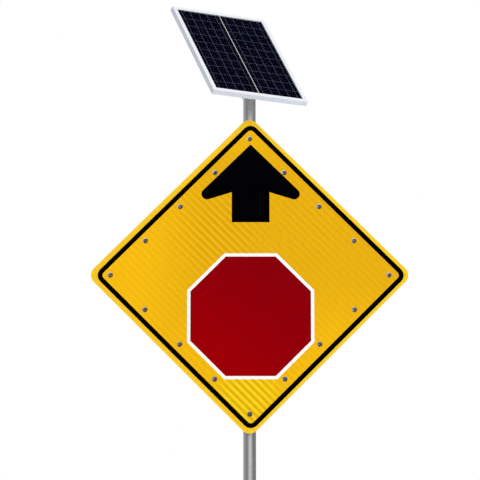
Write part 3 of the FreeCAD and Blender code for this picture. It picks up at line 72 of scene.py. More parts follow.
class Graph:
    """One material: a Principled shader and short calls that build what feeds it."""

    def __init__(self, name, **constants):
        self.material = bpy.data.materials.new(name)
        self.material.use_nodes = True
        self.tree = self.material.node_tree
        self.tree.nodes.clear()
        self.shader = self.tree.nodes.new("ShaderNodeBsdfPrincipled")
        output = self.tree.nodes.new("ShaderNodeOutputMaterial")
        self.tree.links.new(self.shader.outputs["BSDF"], output.inputs["Surface"])
        for socket, value in constants.items():
            self.feed(self.shader.inputs[socket.replace("_", " ")], value)
        places = self.tree.nodes.new("ShaderNodeTexCoord")
        self.here, self.normal = places.outputs["Object"], places.outputs["Normal"]

    def feed(self, socket, value):
        """Link a socket, or set it to a plain number or colour."""
        if isinstance(value, bpy.types.NodeSocket):
            self.tree.links.new(value, socket)
        elif isinstance(value, (tuple, list)) and len(value) == 3 and socket.type == "RGBA":
            socket.default_value = (*value, 1.0)
        else:
            socket.default_value = value

    def colour(self, value):
        self.feed(self.shader.inputs["Base Color"], value)

    def roughness(self, value):
        self.feed(self.shader.inputs["Roughness"], value)

    def math(self, operation, first, second=0.0, third=0.0):
        """One step of arithmetic on sockets or plain numbers."""
        node = self.tree.nodes.new("ShaderNodeMath")
        node.operation = operation
        for socket, value in zip(node.inputs, (first, second, third)):
            self.feed(socket, value)
        return node.outputs[0]

    def vector(self, operation, first, second, output="Vector"):
        """One step of vector arithmetic on sockets or plain vectors."""
        node = self.tree.nodes.new("ShaderNodeVectorMath")
        node.operation = operation
        self.feed(node.inputs[0], first)
        self.feed(node.inputs[1], second)
        return node.outputs[output]

    def along(self, direction, of=None):
        """How far the shaded point, in metres, or another vector is along a direction."""
        return self.vector("DOT_PRODUCT", self.here if of is None else of, direction, "Value")

    def distance(self, point):
        """How far the shaded point is from another, in metres."""
        return self.vector("DISTANCE", self.here, point, "Value")

    def stretched(self, scales):
        """The shaded point's place, scaled along each axis; a small scale draws a pattern out."""
        return self.vector("MULTIPLY", self.here, scales)

    def noise(self, size, detail=3.0, roughness=0.5, place=None, output="Fac"):
        """Noise from 0 to 1 whose blotches are about so many metres across."""
        node = self.tree.nodes.new("ShaderNodeTexNoise")
        self.feed(node.inputs["Vector"], self.here if place is None else place)
        node.inputs["Scale"].default_value = 1 / size
        node.inputs["Detail"].default_value = detail
        node.inputs["Roughness"].default_value = roughness
        return node.outputs[output]

    def cells(self, size, place):
        """One random tone for each cell of a pattern whose cells are about so many metres across."""
        node = self.tree.nodes.new("ShaderNodeTexVoronoi")
        self.feed(node.inputs["Vector"], place)
        node.inputs["Scale"].default_value = 1 / size
        return node.outputs["Color"]

    def spread(self, value, low, high, to_low=0.0, to_high=1.0, smooth=False):
        """A value's range from low to high, drawn over another range and held at its ends."""
        node = self.tree.nodes.new("ShaderNodeMapRange")
        node.interpolation_type = "SMOOTHSTEP" if smooth else "LINEAR"
        for socket, number in zip(node.inputs, (value, low, high, to_low, to_high)):
            self.feed(socket, number)
        return node.outputs[0]

    def toned(self, noise, to_low=0.0, to_high=1.0):
        """Noise drawn over another range; nearly all of it lies between 0.3 and 0.7 to begin with."""
        return self.spread(noise, 0.3, 0.7, to_low, to_high)

    def mix(self, share, first, second):
        """The first colour at a share of 0, the second at 1."""
        node = self.tree.nodes.new("ShaderNodeMix")
        node.data_type = "RGBA"
        self.feed(node.inputs[0], share)
        self.feed(node.inputs[6], first)
        self.feed(node.inputs[7], second)
        return node.outputs[2]

    def wave(self, position, pitch):
        """A sine wave from -1 to 1 along a position, with a pitch in metres."""
        return self.math("SINE", self.math("MULTIPLY", position, 2 * math.pi / pitch))

    def bump(self, height, depth, strength):
        """Tilt the shading by a height from 0 to 1 that stands for so many metres."""
        node = self.tree.nodes.new("ShaderNodeBump")
        node.inputs["Strength"].default_value = strength
        node.inputs["Distance"].default_value = depth
        self.feed(node.inputs["Height"], height)
        self.feed(self.shader.inputs["Normal"], node.outputs["Normal"])


def linear(red, green, blue):
    """A colour given in display values from 0 to 255, as Blender's linear numbers."""
    def channel(value):
        share = value / 255
        return share / 12.92 if share <= 0.04045 else ((share + 0.055) / 1.055) ** 2.4

    return channel(red), channel(green), channel(blue)


# ---------------------------------------------------------------- sign face


# The ribs' spacing, how far along the rising diagonal one of them starts, and how much they wander.
RIB_PITCH = 22.7 * MM
RIB_START = 363.2 * MM
RIB_WANDER = 3 * MM
LATTICE_PITCH = 3.6 * MM
SIGN_LOW, SIGN_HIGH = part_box("yellow_sheeting")
SIGN_CENTRE = middle_of("yellow_sheeting")
BLANK_SIDE = 914.4 * MM
SIGN_REACH = BLANK_SIDE * ROOT_HALF
# Where the yellow takes on the tone of the margin outside the border, measured in from the tips.
MARGIN_INNER, MARGIN_OUTER = 34 * MM, 20 * MM


def sheeting_pattern(g):
    """Prismatic sheeting: broad ribs from upper left to lower right, and a fine cube-corner lattice."""
    rising = g.along((ROOT_HALF, 0, ROOT_HALF))
    falling = g.along((ROOT_HALF, 0, -ROOT_HALF))
    wander = g.math("MULTIPLY", g.math("SUBTRACT", g.noise(0.25, 2), 0.5), RIB_WANDER)
    ribs = g.wave(g.math("ADD", g.math("SUBTRACT", rising, RIB_START - RIB_PITCH / 4), wander), RIB_PITCH)
    lattice = g.math("MULTIPLY", g.wave(rising, LATTICE_PITCH), g.wave(falling, LATTICE_PITCH))
    return ribs, lattice


def film(name, **constants):
    """A printed or prismatic film, almost without a mirror gloss."""
    return Graph(name, **{"Specular_IOR_Level": 0.04, **constants})


def yellow_sheeting():
    """Yellow that its ribs shift between amber and lemon, most of all under a painted glint at the lower tip
    and a painted flash at the upper left; painted light makes it brighter to the left, below the middle and
    at the top.
    """
    g = film("yellow_sheeting")
    ribs, lattice = sheeting_pattern(g)
    # How strongly the ribs show: under a painted glint at the lower tip, in a painted flash at the upper
    # left and in loose patches.
    tip = g.spread(g.distance((-0.01, SIGN_LOW.y, SIGN_LOW.z + 0.15)), 0.05, 0.19, 0.75, 0.0, smooth=True)
    painted_flash = g.spread(g.distance(SIGN_CENTRE + Vector((-0.14, 0, 0.17))), 0.02, 0.3, 0.5, 0.0, smooth=True)
    patches = g.spread(g.noise(0.22, 2), 0.42, 0.62, 0.06, 0.2)
    strength = g.math("MAXIMUM", g.math("MAXIMUM", tip, painted_flash), patches)
    sway = g.math("MULTIPLY", g.math("MULTIPLY", ribs, strength), 0.5)
    share = g.math("ADD", sway, 0.5)
    share = g.math("ADD", share, g.math("MULTIPLY", lattice, 0.04))
    share = g.math("ADD", share, g.toned(g.noise(12 * MM, 2), -0.06, 0.06))
    # Painted light: the yellow is brighter towards the left, below the middle and at the top, where it
    # offsets the panel's shadow.
    height = g.along(UP)
    left = g.spread(g.along(ACROSS), -0.48, -0.12, 1.0, 0.0, smooth=True)
    low = g.spread(height, SIGN_CENTRE.z - 0.32, SIGN_CENTRE.z + 0.02, 0.75, 0.0, smooth=True)
    # Painted light at the top, offsetting the shadow that the panel casts on the sign.
    top = g.spread(height, SIGN_HIGH.z - 0.2, SIGN_HIGH.z - 0.02, 0.0, 1.0, smooth=True)
    painted_light = g.math("MAXIMUM", g.math("MAXIMUM", left, low), top)
    # Three pairs of tones, dark and light side of a rib: the painted glint at the tip, over the face and in
    # the margin.
    painted_glint = g.mix(share, linear(206, 158, 2), linear(252, 224, 32))
    even = g.mix(painted_light, g.mix(share, linear(202, 141, 1), linear(244, 192, 22)),
                 g.mix(share, linear(234, 156, 1), linear(250, 207, 22)))
    across = g.math("ABSOLUTE", g.along(ACROSS))
    reach = g.math("ADD", across, g.math("ABSOLUTE", g.math("SUBTRACT", height, SIGN_CENTRE.z)))
    margin = g.spread(reach, SIGN_REACH - MARGIN_INNER, SIGN_REACH - MARGIN_OUTER)
    inner = g.mix(tip, even, painted_glint)
    g.colour(g.mix(margin, inner, g.mix(share, linear(236, 176, 14), linear(252, 214, 52))))
    g.roughness(g.spread(ribs, -1, 1, 0.42, 0.3))
    g.bump(g.math("ADD", g.math("MULTIPLY", ribs, 0.5), g.math("MULTIPLY", lattice, 0.2)), 0.1 * MM, 0.5)
    return g.material


def white_sheeting():
    """Near white, with the ribs and the lattice just to be seen."""
    g = film("white_sheeting")
    ribs, lattice = sheeting_pattern(g)
    share = g.math("ADD", g.spread(ribs, -1, 1, 0.3, 0.8), g.math("MULTIPLY", lattice, 0.06))
    g.colour(g.mix(share, linear(238, 236, 234), linear(250, 250, 249)))
    g.roughness(g.spread(ribs, -1, 1, 0.45, 0.34))
    g.bump(lattice, 0.05 * MM, 0.4)
    return g.material


def red_sheeting():
    """Transparent red over the ribs, wavy right of its middle, with painted light at its lower left and
    painted shade towards its top and right.
    """
    g = film("red_sheeting", Specular_IOR_Level=0.0)
    ribs, lattice = sheeting_pattern(g)
    middle = middle_of("red_octagon")
    centre = g.spread(g.distance(middle + 0.04 * ACROSS), 0.02, 0.16, 1.0, 0.15, smooth=True)
    sway = g.math("MULTIPLY", g.math("MULTIPLY", ribs, centre), 0.12)
    # Painted light and shade: brighter towards the lower left, darker towards the top and right.
    painted_light_slant = Vector((0.5, 0, 0.8))
    slope = g.math("SUBTRACT", g.along(painted_light_slant), painted_light_slant.dot(middle))
    share = g.spread(slope, -0.22, 0.22, 0.85, 0.1)
    share = g.math("ADD", g.math("ADD", share, sway), g.math("MULTIPLY", lattice, 0.03))
    share = g.math("ADD", share, g.toned(g.noise(0.09, 3), -0.12, 0.12))
    g.colour(g.mix(share, linear(128, 1, 12), linear(158, 0, 5)))
    g.roughness(g.spread(ribs, -1, 1, 0.4, 0.32))
    g.bump(lattice, 0.05 * MM, 0.4)
    return g.material


def black_film():
    """Flat black with a fine grain."""
    g = film("black_film", Specular_IOR_Level=0.0)
    grain = g.noise(3 * MM, 3)
    g.colour(g.mix(grain, (0.0003, 0.0003, 0.0006), (0.0012, 0.0012, 0.002)))
    g.roughness(g.toned(grain, 0.34, 0.46))
    g.bump(grain, 0.02 * MM, 0.4)
    return g.material


# ---------------------------------------------------------------- metals


def metal(name, dark, light, roughness, blotch=0.03, brushed=None, grain=0.03, metallic=1.0):
    """A bare metal: cloudy in tone and gloss, with a fine grain that may be brushed along an axis."""
    g = Graph(name, Metallic=metallic)
    cloud = g.noise(blotch, 4, 0.6)
    stretch = (1.0, 1.0, 1.0) if brushed is None else tuple(0.04 if a else 1.0 for a in brushed)
    fine = g.noise(1.5 * MM, 2, 0.6, place=g.stretched(stretch))
    share = g.math("ADD", g.toned(cloud), g.toned(fine, -0.15, 0.15))
    g.colour(g.mix(share, dark, light))
    gloss = g.math("ADD", g.toned(cloud, roughness + 0.06, roughness - 0.04),
                   g.toned(fine, -0.04, 0.04))
    g.roughness(gloss)
    g.bump(fine, grain * MM, 0.5)
    return g.material


def galvanised():
    """Hot-dip zinc: crystals of slightly different tone and gloss under long faint streaks.

    It is painted lighter above the sign, a painted light that offsets the panel's shadow on the post.
    """
    g = Graph("galvanised", Metallic=0.9)
    wobble = g.vector("MULTIPLY", g.noise(8 * MM, 2, output="Color"), (4 * MM,) * 3)
    crystal = g.cells(9 * MM, g.vector("ADD", g.here, wobble))
    streak = g.noise(20 * MM, 3, 0.6, place=g.stretched((1, 1, 0.06)))
    share = g.math("ADD", g.spread(crystal, 0.1, 0.9, -0.1, 0.1), g.toned(streak, 0.25, 0.75))
    zinc = g.mix(share, (0.46, 0.465, 0.47), (0.54, 0.545, 0.55))
    # Painted light: the lighter zinc used above the sign, offsetting the panel's shadow on the post.
    painted_light = g.mix(share, (0.58, 0.585, 0.59), (0.66, 0.665, 0.67))
    above = g.spread(g.along(UP), SIGN_HIGH.z - 0.1, SIGN_HIGH.z, smooth=True)
    g.colour(g.mix(above, zinc, painted_light))
    g.roughness(g.math("ADD", g.spread(crystal, 0, 1, -0.04, 0.04), g.toned(streak, 0.34, 0.28)))
    g.bump(g.noise(4 * MM, 3), 0.04 * MM, 0.4)
    return g.material


# ---------------------------------------------------------------- paints, plastics and rubber


def moulded(name, dark, light, roughness, texture=1.2 * MM, depth=0.03):
    """A moulded or painted skin: two close tones, a fine texture and slight handling marks."""
    g = Graph(name)
    skin = g.noise(texture, 2)
    cloud = g.noise(0.05, 4, 0.6)
    g.colour(g.mix(g.toned(cloud), dark, light))
    g.roughness(g.math("ADD", g.toned(cloud, roughness - 0.05, roughness + 0.06),
                       g.toned(skin, -0.03, 0.03)))
    g.bump(skin, depth * MM, 0.6)
    return g.material


# ---------------------------------------------------------------- LEDs and panel


# A lens's width, and the steps between LEDs from the left tip to the right one.
LENS_WIDTH = 12 * MM
LED_STEPS = 8


def clear_lens():
    """Clear polycarbonate with a faint moulded haze."""
    g = Graph("clear_lens", Transmission_Weight=1.0, IOR=1.49, Base_Color=(0.93, 0.95, 1.0))
    g.roughness(g.toned(g.noise(4 * MM, 2), 0.02, 0.05))
    return g.material


def led_bezel():
    """Dark nickel with a painted highlight on its upper left, strongest on the upper bezels."""
    g = Graph("dark_bezel", Metallic=1.0)
    low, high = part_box("led_bezels")
    lenses_low, lenses_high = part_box("led_lenses")
    pitch = (lenses_high.x - lenses_low.x - LENS_WIDTH) / LED_STEPS
    middle = (low + high) / 2

    def from_nearest(direction, start):
        """How far the shaded point is from the nearest bezel's centre along a direction."""
        return g.math("WRAP", g.math("SUBTRACT", g.along(direction), start), -pitch / 2, pitch / 2)

    # A painted highlight on each bezel's upper left, stronger on the upper bezels.
    lean = g.math("SUBTRACT", from_nearest(UP, middle.z), from_nearest(ACROSS, middle.x))
    painted_highlight = g.spread(lean, -9 * MM, 11 * MM, smooth=True)
    painted_highlight = g.math("MULTIPLY", painted_highlight, g.spread(g.along(UP), low.z, high.z, 0.3, 1.0))
    cloud = g.noise(4 * MM, 3)
    g.colour(g.mix(painted_highlight, g.mix(cloud, (0.03, 0.03, 0.06), (0.1, 0.1, 0.16)),
                   g.mix(cloud, (0.78, 0.79, 0.9), (0.95, 0.96, 1.0))))
    g.roughness(g.toned(cloud, 0.14, 0.22))
    return g.material


def led_emitter():
    """Unlit LED chips, dark behind their lenses."""
    g = Graph("led_emitter")
    grain = g.noise(0.6 * MM, 2)
    g.colour(g.mix(grain, (0.03, 0.032, 0.05), (0.06, 0.064, 0.09)))
    g.roughness(g.toned(grain, 0.2, 0.32))
    return g.material


def panel_local():
    """The panel's own axes at rest: across, up the slope and out of the glass, from its joint and glass."""
    across = Vector(joint("panel_tilt")["axis"]).normalized()
    glass = NODES["panel_glass"].data
    largest = max(glass.polygons, key=lambda p: (round(p.area, 6), -p.normal.y))
    out = largest.normal.copy()
    up = out.cross(across).normalized()
    return Matrix((across, up, out))


PANEL = panel_local()


def solar_cell():
    """Monocrystalline silicon: near black blue, with hair-thin silver fingers across each cell."""
    g = Graph("solar_cell", Specular_IOR_Level=0.0)
    up = g.along(PANEL[1])
    finger = g.spread(g.wave(up, 1.9 * MM), 0.9, 1.0, 0.0, 1.0)
    cloud = g.noise(0.06, 3)
    silicon = g.mix(g.toned(cloud), (0.0002, 0.0004, 0.0045), (0.0009, 0.0014, 0.0085))
    g.colour(g.mix(g.math("MULTIPLY", finger, 0.01), silicon, (0.25, 0.28, 0.42)))
    g.roughness(g.toned(cloud, 0.28, 0.36))
    return g.material


def panel_frame():
    """Satin anodised extrusion, with painted shade: darker on its outer sides, darker and bluer on its lower
    one.
    """
    g = Graph("panel_frame", Metallic=0.1)
    cloud = g.noise(0.1, 4, 0.6)
    fine = g.noise(1.5 * MM, 2, 0.6, place=g.stretched((0.04, 1.0, 1.0)))
    share = g.math("ADD", g.toned(cloud), g.toned(fine, -0.15, 0.15))
    # Painted shade: faces turned to the panel's sides are darker, and faces turned down its slope are darker
    # and bluer.
    side = g.math("ABSOLUTE", g.along(PANEL[0], of=g.normal))
    foot = g.along(-PANEL[1], of=g.normal)
    face = g.mix(g.spread(foot, 0.6, 0.9), g.mix(share, (0.9, 0.925, 0.96), (0.94, 0.96, 0.985)),
                 g.mix(share, (0.75, 0.81, 0.93), (0.79, 0.85, 0.97)))
    g.colour(g.mix(g.spread(side, 0.6, 0.9), face, g.mix(share, (0.61, 0.635, 0.71), (0.67, 0.695, 0.77))))
    g.roughness(g.toned(cloud, 0.5, 0.4))
    g.bump(fine, 0.01 * MM, 0.5)
    return g.material


def panel_glass():
    """Anti-reflective tempered glass, seen through except for a slight gloss."""
    g = Graph("panel_glass", Base_Color=(0.004, 0.006, 0.012), Alpha=0.03)
    g.roughness(g.toned(g.noise(10 * MM, 3), 0.04, 0.09))
    g.bump(g.noise(1.5 * MM, 2), 0.01 * MM, 0.3)
    return g.material


MATERIALS = {
    "galvanised": galvanised(),
    "aluminium_sheet": metal("aluminium_sheet", (0.55, 0.56, 0.57), (0.72, 0.73, 0.74), 0.34,
                             blotch=0.12, brushed=(1, 0, 0)),
    "aluminium_rail": metal("aluminium_rail", (0.6, 0.61, 0.62), (0.76, 0.77, 0.78), 0.32,
                            blotch=0.06, brushed=(1, 0, 0)),
    "cast_aluminium": metal("cast_aluminium", (0.42, 0.43, 0.44), (0.58, 0.59, 0.6), 0.46,
                            blotch=0.012, grain=0.12),
    "yellow_sheeting": yellow_sheeting(),
    "white_sheeting": white_sheeting(),
    "red_sheeting": red_sheeting(),
    "black_film": black_film(),
    "dark_bezel": led_bezel(),
    "clear_lens": clear_lens(),
    "led_emitter": led_emitter(),
    "dark_board": moulded("dark_board", (0.004, 0.006, 0.012), (0.01, 0.012, 0.02), 0.45),
    "black_rubber": moulded("black_rubber", (0.012, 0.012, 0.013), (0.025, 0.025, 0.026), 0.72),
    "black_cable": moulded("black_cable", (0.01, 0.01, 0.011), (0.022, 0.022, 0.023), 0.5),
    "zinc_hardware": metal("zinc_hardware", (0.56, 0.57, 0.56), (0.74, 0.75, 0.74), 0.3, blotch=0.005),
    "stainless": metal("stainless", (0.52, 0.52, 0.51), (0.68, 0.68, 0.67), 0.24, blotch=0.008),
    "cabinet_grey": moulded("cabinet_grey", (0.5, 0.51, 0.5), (0.56, 0.57, 0.56), 0.42,
                            texture=2.2 * MM, depth=0.06),
    "black_plastic": moulded("black_plastic", (0.014, 0.014, 0.015), (0.03, 0.03, 0.032), 0.42),
    "controller_case": moulded("controller_case", (0.03, 0.05, 0.09), (0.05, 0.075, 0.125), 0.38),
    "chrome_lever": metal("chrome_lever", (0.76, 0.76, 0.77), (0.88, 0.88, 0.89), 0.1, blotch=0.004),
    "red_button": moulded("red_button", (0.42, 0.012, 0.01), (0.56, 0.02, 0.015), 0.3),
    "panel_frame": panel_frame(),
    "panel_glass": panel_glass(),
    "white_backsheet": moulded("white_backsheet", (0.7, 0.71, 0.72), (0.8, 0.81, 0.82), 0.5),
    "solar_cell": solar_cell(),
}

# Tinned copper under the glass, darker and bluer than the record's zinc slot that it stands in.
CELL_RIBBON = metal("cell_ribbon", (0.08, 0.1, 0.19), (0.11, 0.135, 0.24), 0.5, metallic=0.1)

# Each CAD node comes with a plain material that has its slot's name.
for node in NODES.values():
    for place in node.material_slots:
        place.material = MATERIALS[place.material.name.split(".")[0]]


# ---------------------------------------------------------------- mesh building


def skin(mesh, rings, closed=False):
    """Faces between rings of points. An open stack gets a cap on each end; a closed one meets itself."""
    rows = [[mesh.verts.new(point) for point in ring] for ring in rings]
    pairs = list(zip(rows, rows[1:])) + ([(rows[-1], rows[0])] if closed else [])
    count = len(rows[0])
    for first, second in pairs:
        for k in range(count):
            after = (k + 1) % count
            mesh.faces.new((first[k], first[after], second[after], second[k]))
    if not closed:
        mesh.faces.new(rows[0][::-1])
        mesh.faces.new(rows[-1])


def square_to(axis):
    """Two directions square to an axis and to each other."""
    helper = UP if abs(axis.z) < 0.9 else ACROSS
    first = axis.cross(helper).normalized()
    return first, axis.cross(first).normalized()


def turned(mesh, centre, axis, profile, sides=24, closed=False):
    """A turned solid: pairs of (radius, distance along) swept round an axis."""
    first, second = square_to(axis)
    turns = [2 * math.pi * k / sides for k in range(sides)]
    spokes = [math.cos(turn) * first + math.sin(turn) * second for turn in turns]
    skin(mesh, [[centre + along * axis + radius * spoke for spoke in spokes] for radius, along in profile],
         closed)


def brick(mesh, low, high, axes=ROW):
    """A block between two corners given in a set of axes."""
    out = axes.transposed()
    corners = [(low[0], low[1]), (high[0], low[1]), (high[0], high[1]), (low[0], high[1])]
    skin(mesh, [[out @ Vector((x, y, z)) for x, y in corners] for z in (low[2], high[2])])


def surround(mesh, low, high, width, axes=ROW):
    """A rectangular frame: a block with a window that leaves a band of one width, open along axis 3."""
    out = axes.transposed()

    def loop(inset, level):
        x0, y0, x1, y1 = low[0] + inset, low[1] + inset, high[0] - inset, high[1] - inset
        return [out @ Vector((x, y, level)) for x, y in ((x0, y0), (x1, y0), (x1, y1), (x0, y1))]

    skin(mesh, [loop(0, low[2]), loop(0, high[2]), loop(width, high[2]), loop(width, low[2])], closed=True)


def thread(mesh, tip, axis, radius, length, pitch, steps=14):
    """The ridge of a screw thread, from a bolt's free end back along its shank."""
    first, second = square_to(axis)
    height, half_foot = 0.3 * pitch, 0.42 * pitch
    rings = []
    for k in range(int(steps * length / pitch) + 1):
        turn = 2 * math.pi * k / steps
        outward = math.cos(turn) * first + math.sin(turn) * second
        middle = tip - axis * (0.5 * pitch + k * pitch / steps)
        foot = middle + outward * (radius - height / 2)
        crest = middle + outward * (radius + height / 2)
        rings.append([foot - axis * half_foot, crest, foot + axis * half_foot])
    skin(mesh, rings)


def bead(mesh, start, end, radius, ripple=2.6 * MM, sides=8):
    """A weld bead: a run of overlapping drops between two points."""
    run = end - start
    axis = run.normalized()
    drops = max(2, round(run.length / ripple))
    profile = [(0.25 * radius, 0)]
    for k in range(drops):
        base = k * run.length / drops
        profile += [(radius * 0.8, base + 0.15 * ripple), (radius, base + 0.5 * ripple),
                    (radius * 0.92, base + 0.8 * ripple)]
    profile.append((0.25 * radius, run.length))
    turned(mesh, start, axis, profile, sides)


def screw_head(mesh, centre, axis, radius):
    """A pan head with a round-sided socket."""
    turned(mesh, centre, axis, [
        (radius, 0), (radius, 0.35 * radius), (0.92 * radius, 0.55 * radius), (0.7 * radius, 0.7 * radius),
        (0.45 * radius, 0.74 * radius), (0.42 * radius, 0.3 * radius), (0.02 * radius, 0.22 * radius),
    ], sides=20)


def piece(name, mesh, slot, body, replaced=(), round_over=None, material=None):
    """Turn a finished mesh into a piece that rides on a body, with a record slot's material or its own."""
    bmesh.ops.recalc_face_normals(mesh, faces=mesh.faces[:])
    data = bpy.data.meshes.new(name)
    mesh.to_mesh(data)
    mesh.free()
    data.shade_smooth()
    data.set_sharp_from_angle(angle=math.radians(38))
    data.materials.append(material or MATERIALS[slot])
    made = bpy.data.objects.new(name, data)
    bpy.context.scene.collection.objects.link(made)
    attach(made, body)
    if replaced:
        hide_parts(*replaced)
    if round_over:
        soften(made, round_over)


def soften(thing, width, join_flats=True):
    """Fine rounded edges, on a mesh whose flat faces are joined up first unless slots cut them up."""
    weld = thing.modifiers.new("weld", "WELD")
    weld.merge_threshold = 0.005 * MM
    if join_flats:
        flat = thing.modifiers.new("flat", "DECIMATE")
        flat.decimate_type = "DISSOLVE"
        flat.angle_limit = math.radians(0.5)
    edge = thing.modifiers.new("edge", "BEVEL")
    edge.width = width
    edge.segments = 2
    edge.limit_method = "ANGLE"
    edge.angle_limit = math.radians(32)
    edge.miter_outer = "MITER_ARC"
    shading = thing.modifiers.new("shading", "WEIGHTED_NORMAL")
    shading.keep_sharp = False


def loose_parts(node):
    """The separate solids of a CAD node, each as a list of its points."""
    mesh = bmesh.new()
    mesh.from_mesh(NODES[node].data)
    bmesh.ops.remove_doubles(mesh, verts=mesh.verts[:], dist=0.002 * MM)
    waiting, parts = set(mesh.verts), []
    while waiting:
        front, found = [waiting.pop()], []
        while front:
            vertex = front.pop()
            found.append(vertex.co.copy())
            for edge in vertex.link_edges:
                other = edge.other_vert(vertex)
                if other in waiting:
                    waiting.remove(other)
                    front.append(other)
        parts.append(found)
    mesh.free()
    return parts


def corners_in(points, axes=ROW):
    """The lowest and highest corners of some points in a set of axes."""
    local = [axes @ point for point in points]
    return (Vector(min(p[k] for p in local) for k in range(3)),
            Vector(max(p[k] for p in local) for k in range(3)))


def panel_box(node):
    """A node's lowest and highest corners in the panel's own axes."""
    return corners_in([vertex.co for vertex in NODES[node].data.vertices], PANEL)


def bolt_tips(node, axes, k):
    """The free ends of a CAD node's bolts, along axis k of some axes: tip, direction and radius."""
    tips = []
    for points in loose_parts(node):
        low, high = corners_in(points, axes)
        middle = (low + high) / 2
        away = [(axes @ p)[k] for p in points]
        reach = [math.hypot(*((axes @ p - middle)[j] for j in range(3) if j != k)) for p in points]
        for end, level in ((-1, low[k]), (1, high[k])):
            radius = max(r for r, height in zip(reach, away) if abs(height - level) < 0.02 * MM)
            if radius < 0.6 * max(reach):
                tip = middle.copy()
                tip[k] = level
                tips.append((axes.transposed() @ tip, end * axes[k].normalized(), radius))
    return tips


def make_threads():
    """Threads on the bolt ends that show past their nuts."""
    tilt_axes = Matrix((PANEL[0], UP.cross(PANEL[0]), UP))
    # For each node: its axes, which of them the bolts follow, the thread's length and pitch in mm, the body.
    groups = {
        "clip_bolts": (ROW, 1, 6.4, 1.25, "root"),
        "cabinet_bolts": (ROW, 1, 5.0, 1.0, "root"),
        "pivot_bolt": (tilt_axes, 0, 2.5, 1.5, "mast_head"),
        "lock_bolt": (tilt_axes, 0, 2.5, 1.25, "mast_head"),
        "panel_bolts": (PANEL, 2, 3.2, 1.0, "solar_panel"),
    }
    for node, (axes, k, length, pitch, body) in groups.items():
        mesh = bmesh.new()
        for tip, axis, radius in bolt_tips(node, axes, k):
            thread(mesh, tip, axis, radius, length * MM, pitch * MM)
        piece(node + "_threads", mesh, "stainless", body)


# ---------------------------------------------------------------- added pieces


def make_glass():
    """The panel's glass, clear of the ribbons that lie on the cells."""
    low, high = panel_box("panel_glass")
    mesh = bmesh.new()
    brick(mesh, (low.x, low.y, low.z + 0.25 * MM), high, PANEL)
    piece("panel_glass_sheet", mesh, "panel_glass", "solar_panel", replaced=["panel_glass"])


def make_ribbons():
    """Tinned ribbons down each column of cells, and a strip in each gap between two cells."""
    columns = {}
    for points in loose_parts("solar_cells"):
        low, high = corners_in(points, PANEL)
        columns.setdefault(round(low.x, 4), []).append((low, high))
    mesh = bmesh.new()
    for cells in columns.values():
        bottom = min(low.y for low, high in cells)
        top = max(high.y for low, high in cells)
        low, high = cells[0]
        for share in (0.1, 0.3, 0.5, 0.7, 0.9):
            x = low.x + share * (high.x - low.x)
            brick(mesh, (x - 0.6 * MM, bottom + 2 * MM, high.z),
                  (x + 0.6 * MM, top - 2 * MM, high.z + 0.15 * MM), PANEL)
        cells.sort(key=lambda cell: cell[0].y)
        for (_, below), (above, _) in zip(cells, cells[1:]):
            brick(mesh, (low.x, below.y, high.z - 0.3 * MM), (high.x, above.y, high.z - 0.05 * MM), PANEL)
    piece("cell_ribbons", mesh, "zinc_hardware", "solar_panel", material=CELL_RIBBON)


def make_junction_details():
    """Cooling ribs and four screws on the junction box's lid."""
    low, high = panel_box("junction_box_lid")
    middle = (low + high) / 2
    ribs = bmesh.new()
    for k in range(-4, 5):
        x = middle.x + k * 8 * MM
        brick(ribs, (x - 1.1 * MM, middle.y - 20 * MM, low.z - 1.2 * MM),
              (x + 1.1 * MM, middle.y + 20 * MM, low.z), PANEL)
    piece("junction_lid_ribs", ribs, "black_plastic", "solar_panel", round_over=0.4 * MM)
    screws = bmesh.new()
    for x in (low.x + 7 * MM, high.x - 7 * MM):
        for y in (low.y + 7 * MM, high.y - 7 * MM):
            screw_head(screws, PANEL.transposed() @ Vector((x, y, low.z)), -PANEL[2], 2.8 * MM)
    piece("junction_lid_screws", screws, "zinc_hardware", "solar_panel")


def make_bracket_welds():
    """Beads where the tilt bracket's ears meet its plate, on their outer sides."""
    pivot = PANEL @ Vector(joint("panel_tilt")["pos_m"])
    points = [PANEL @ vertex.co - pivot for vertex in NODES["tilt_bracket"].data.vertices]
    ear = [p for p in points if p.z < 0]
    outer = max(abs(p.x) for p in ear)
    half = max(abs(p.y) for p in ear)
    plate = min(p.z for p in points if abs(p.x) > outer + 1 * MM)
    out = PANEL.transposed()
    mesh = bmesh.new()
    for side in (-1, 1):
        ends = [out @ (pivot + Vector((side * outer, y, plate))) for y in (-half, half)]
        bead(mesh, *ends, 2.2 * MM)
    piece("bracket_welds", mesh, "galvanised", "solar_panel")


def make_hinge_welds():
    """Beads along the top and bottom of each hinge leaf, on the cabinet's side and on the door's edge."""
    for node, body in (("hinge_barrels_cabinet", "root"), ("hinge_barrels_door", "door")):
        mesh = bmesh.new()
        for points in loose_parts(node):
            low, high = corners_in(points)
            for level in (low.z, high.z):
                if body == "root":
                    start, end, radius = (high.x, low.y, level), (high.x, high.y - 10 * MM, level), 1.1 * MM
                else:
                    x = high.x - 0.3 * MM
                    start, end, radius = (x, high.y - 4 * MM, level), (x, high.y, level), 0.8 * MM
                bead(mesh, Vector(start), Vector(end), radius)
        piece(node.replace("barrels", "welds"), mesh, "stainless", body)


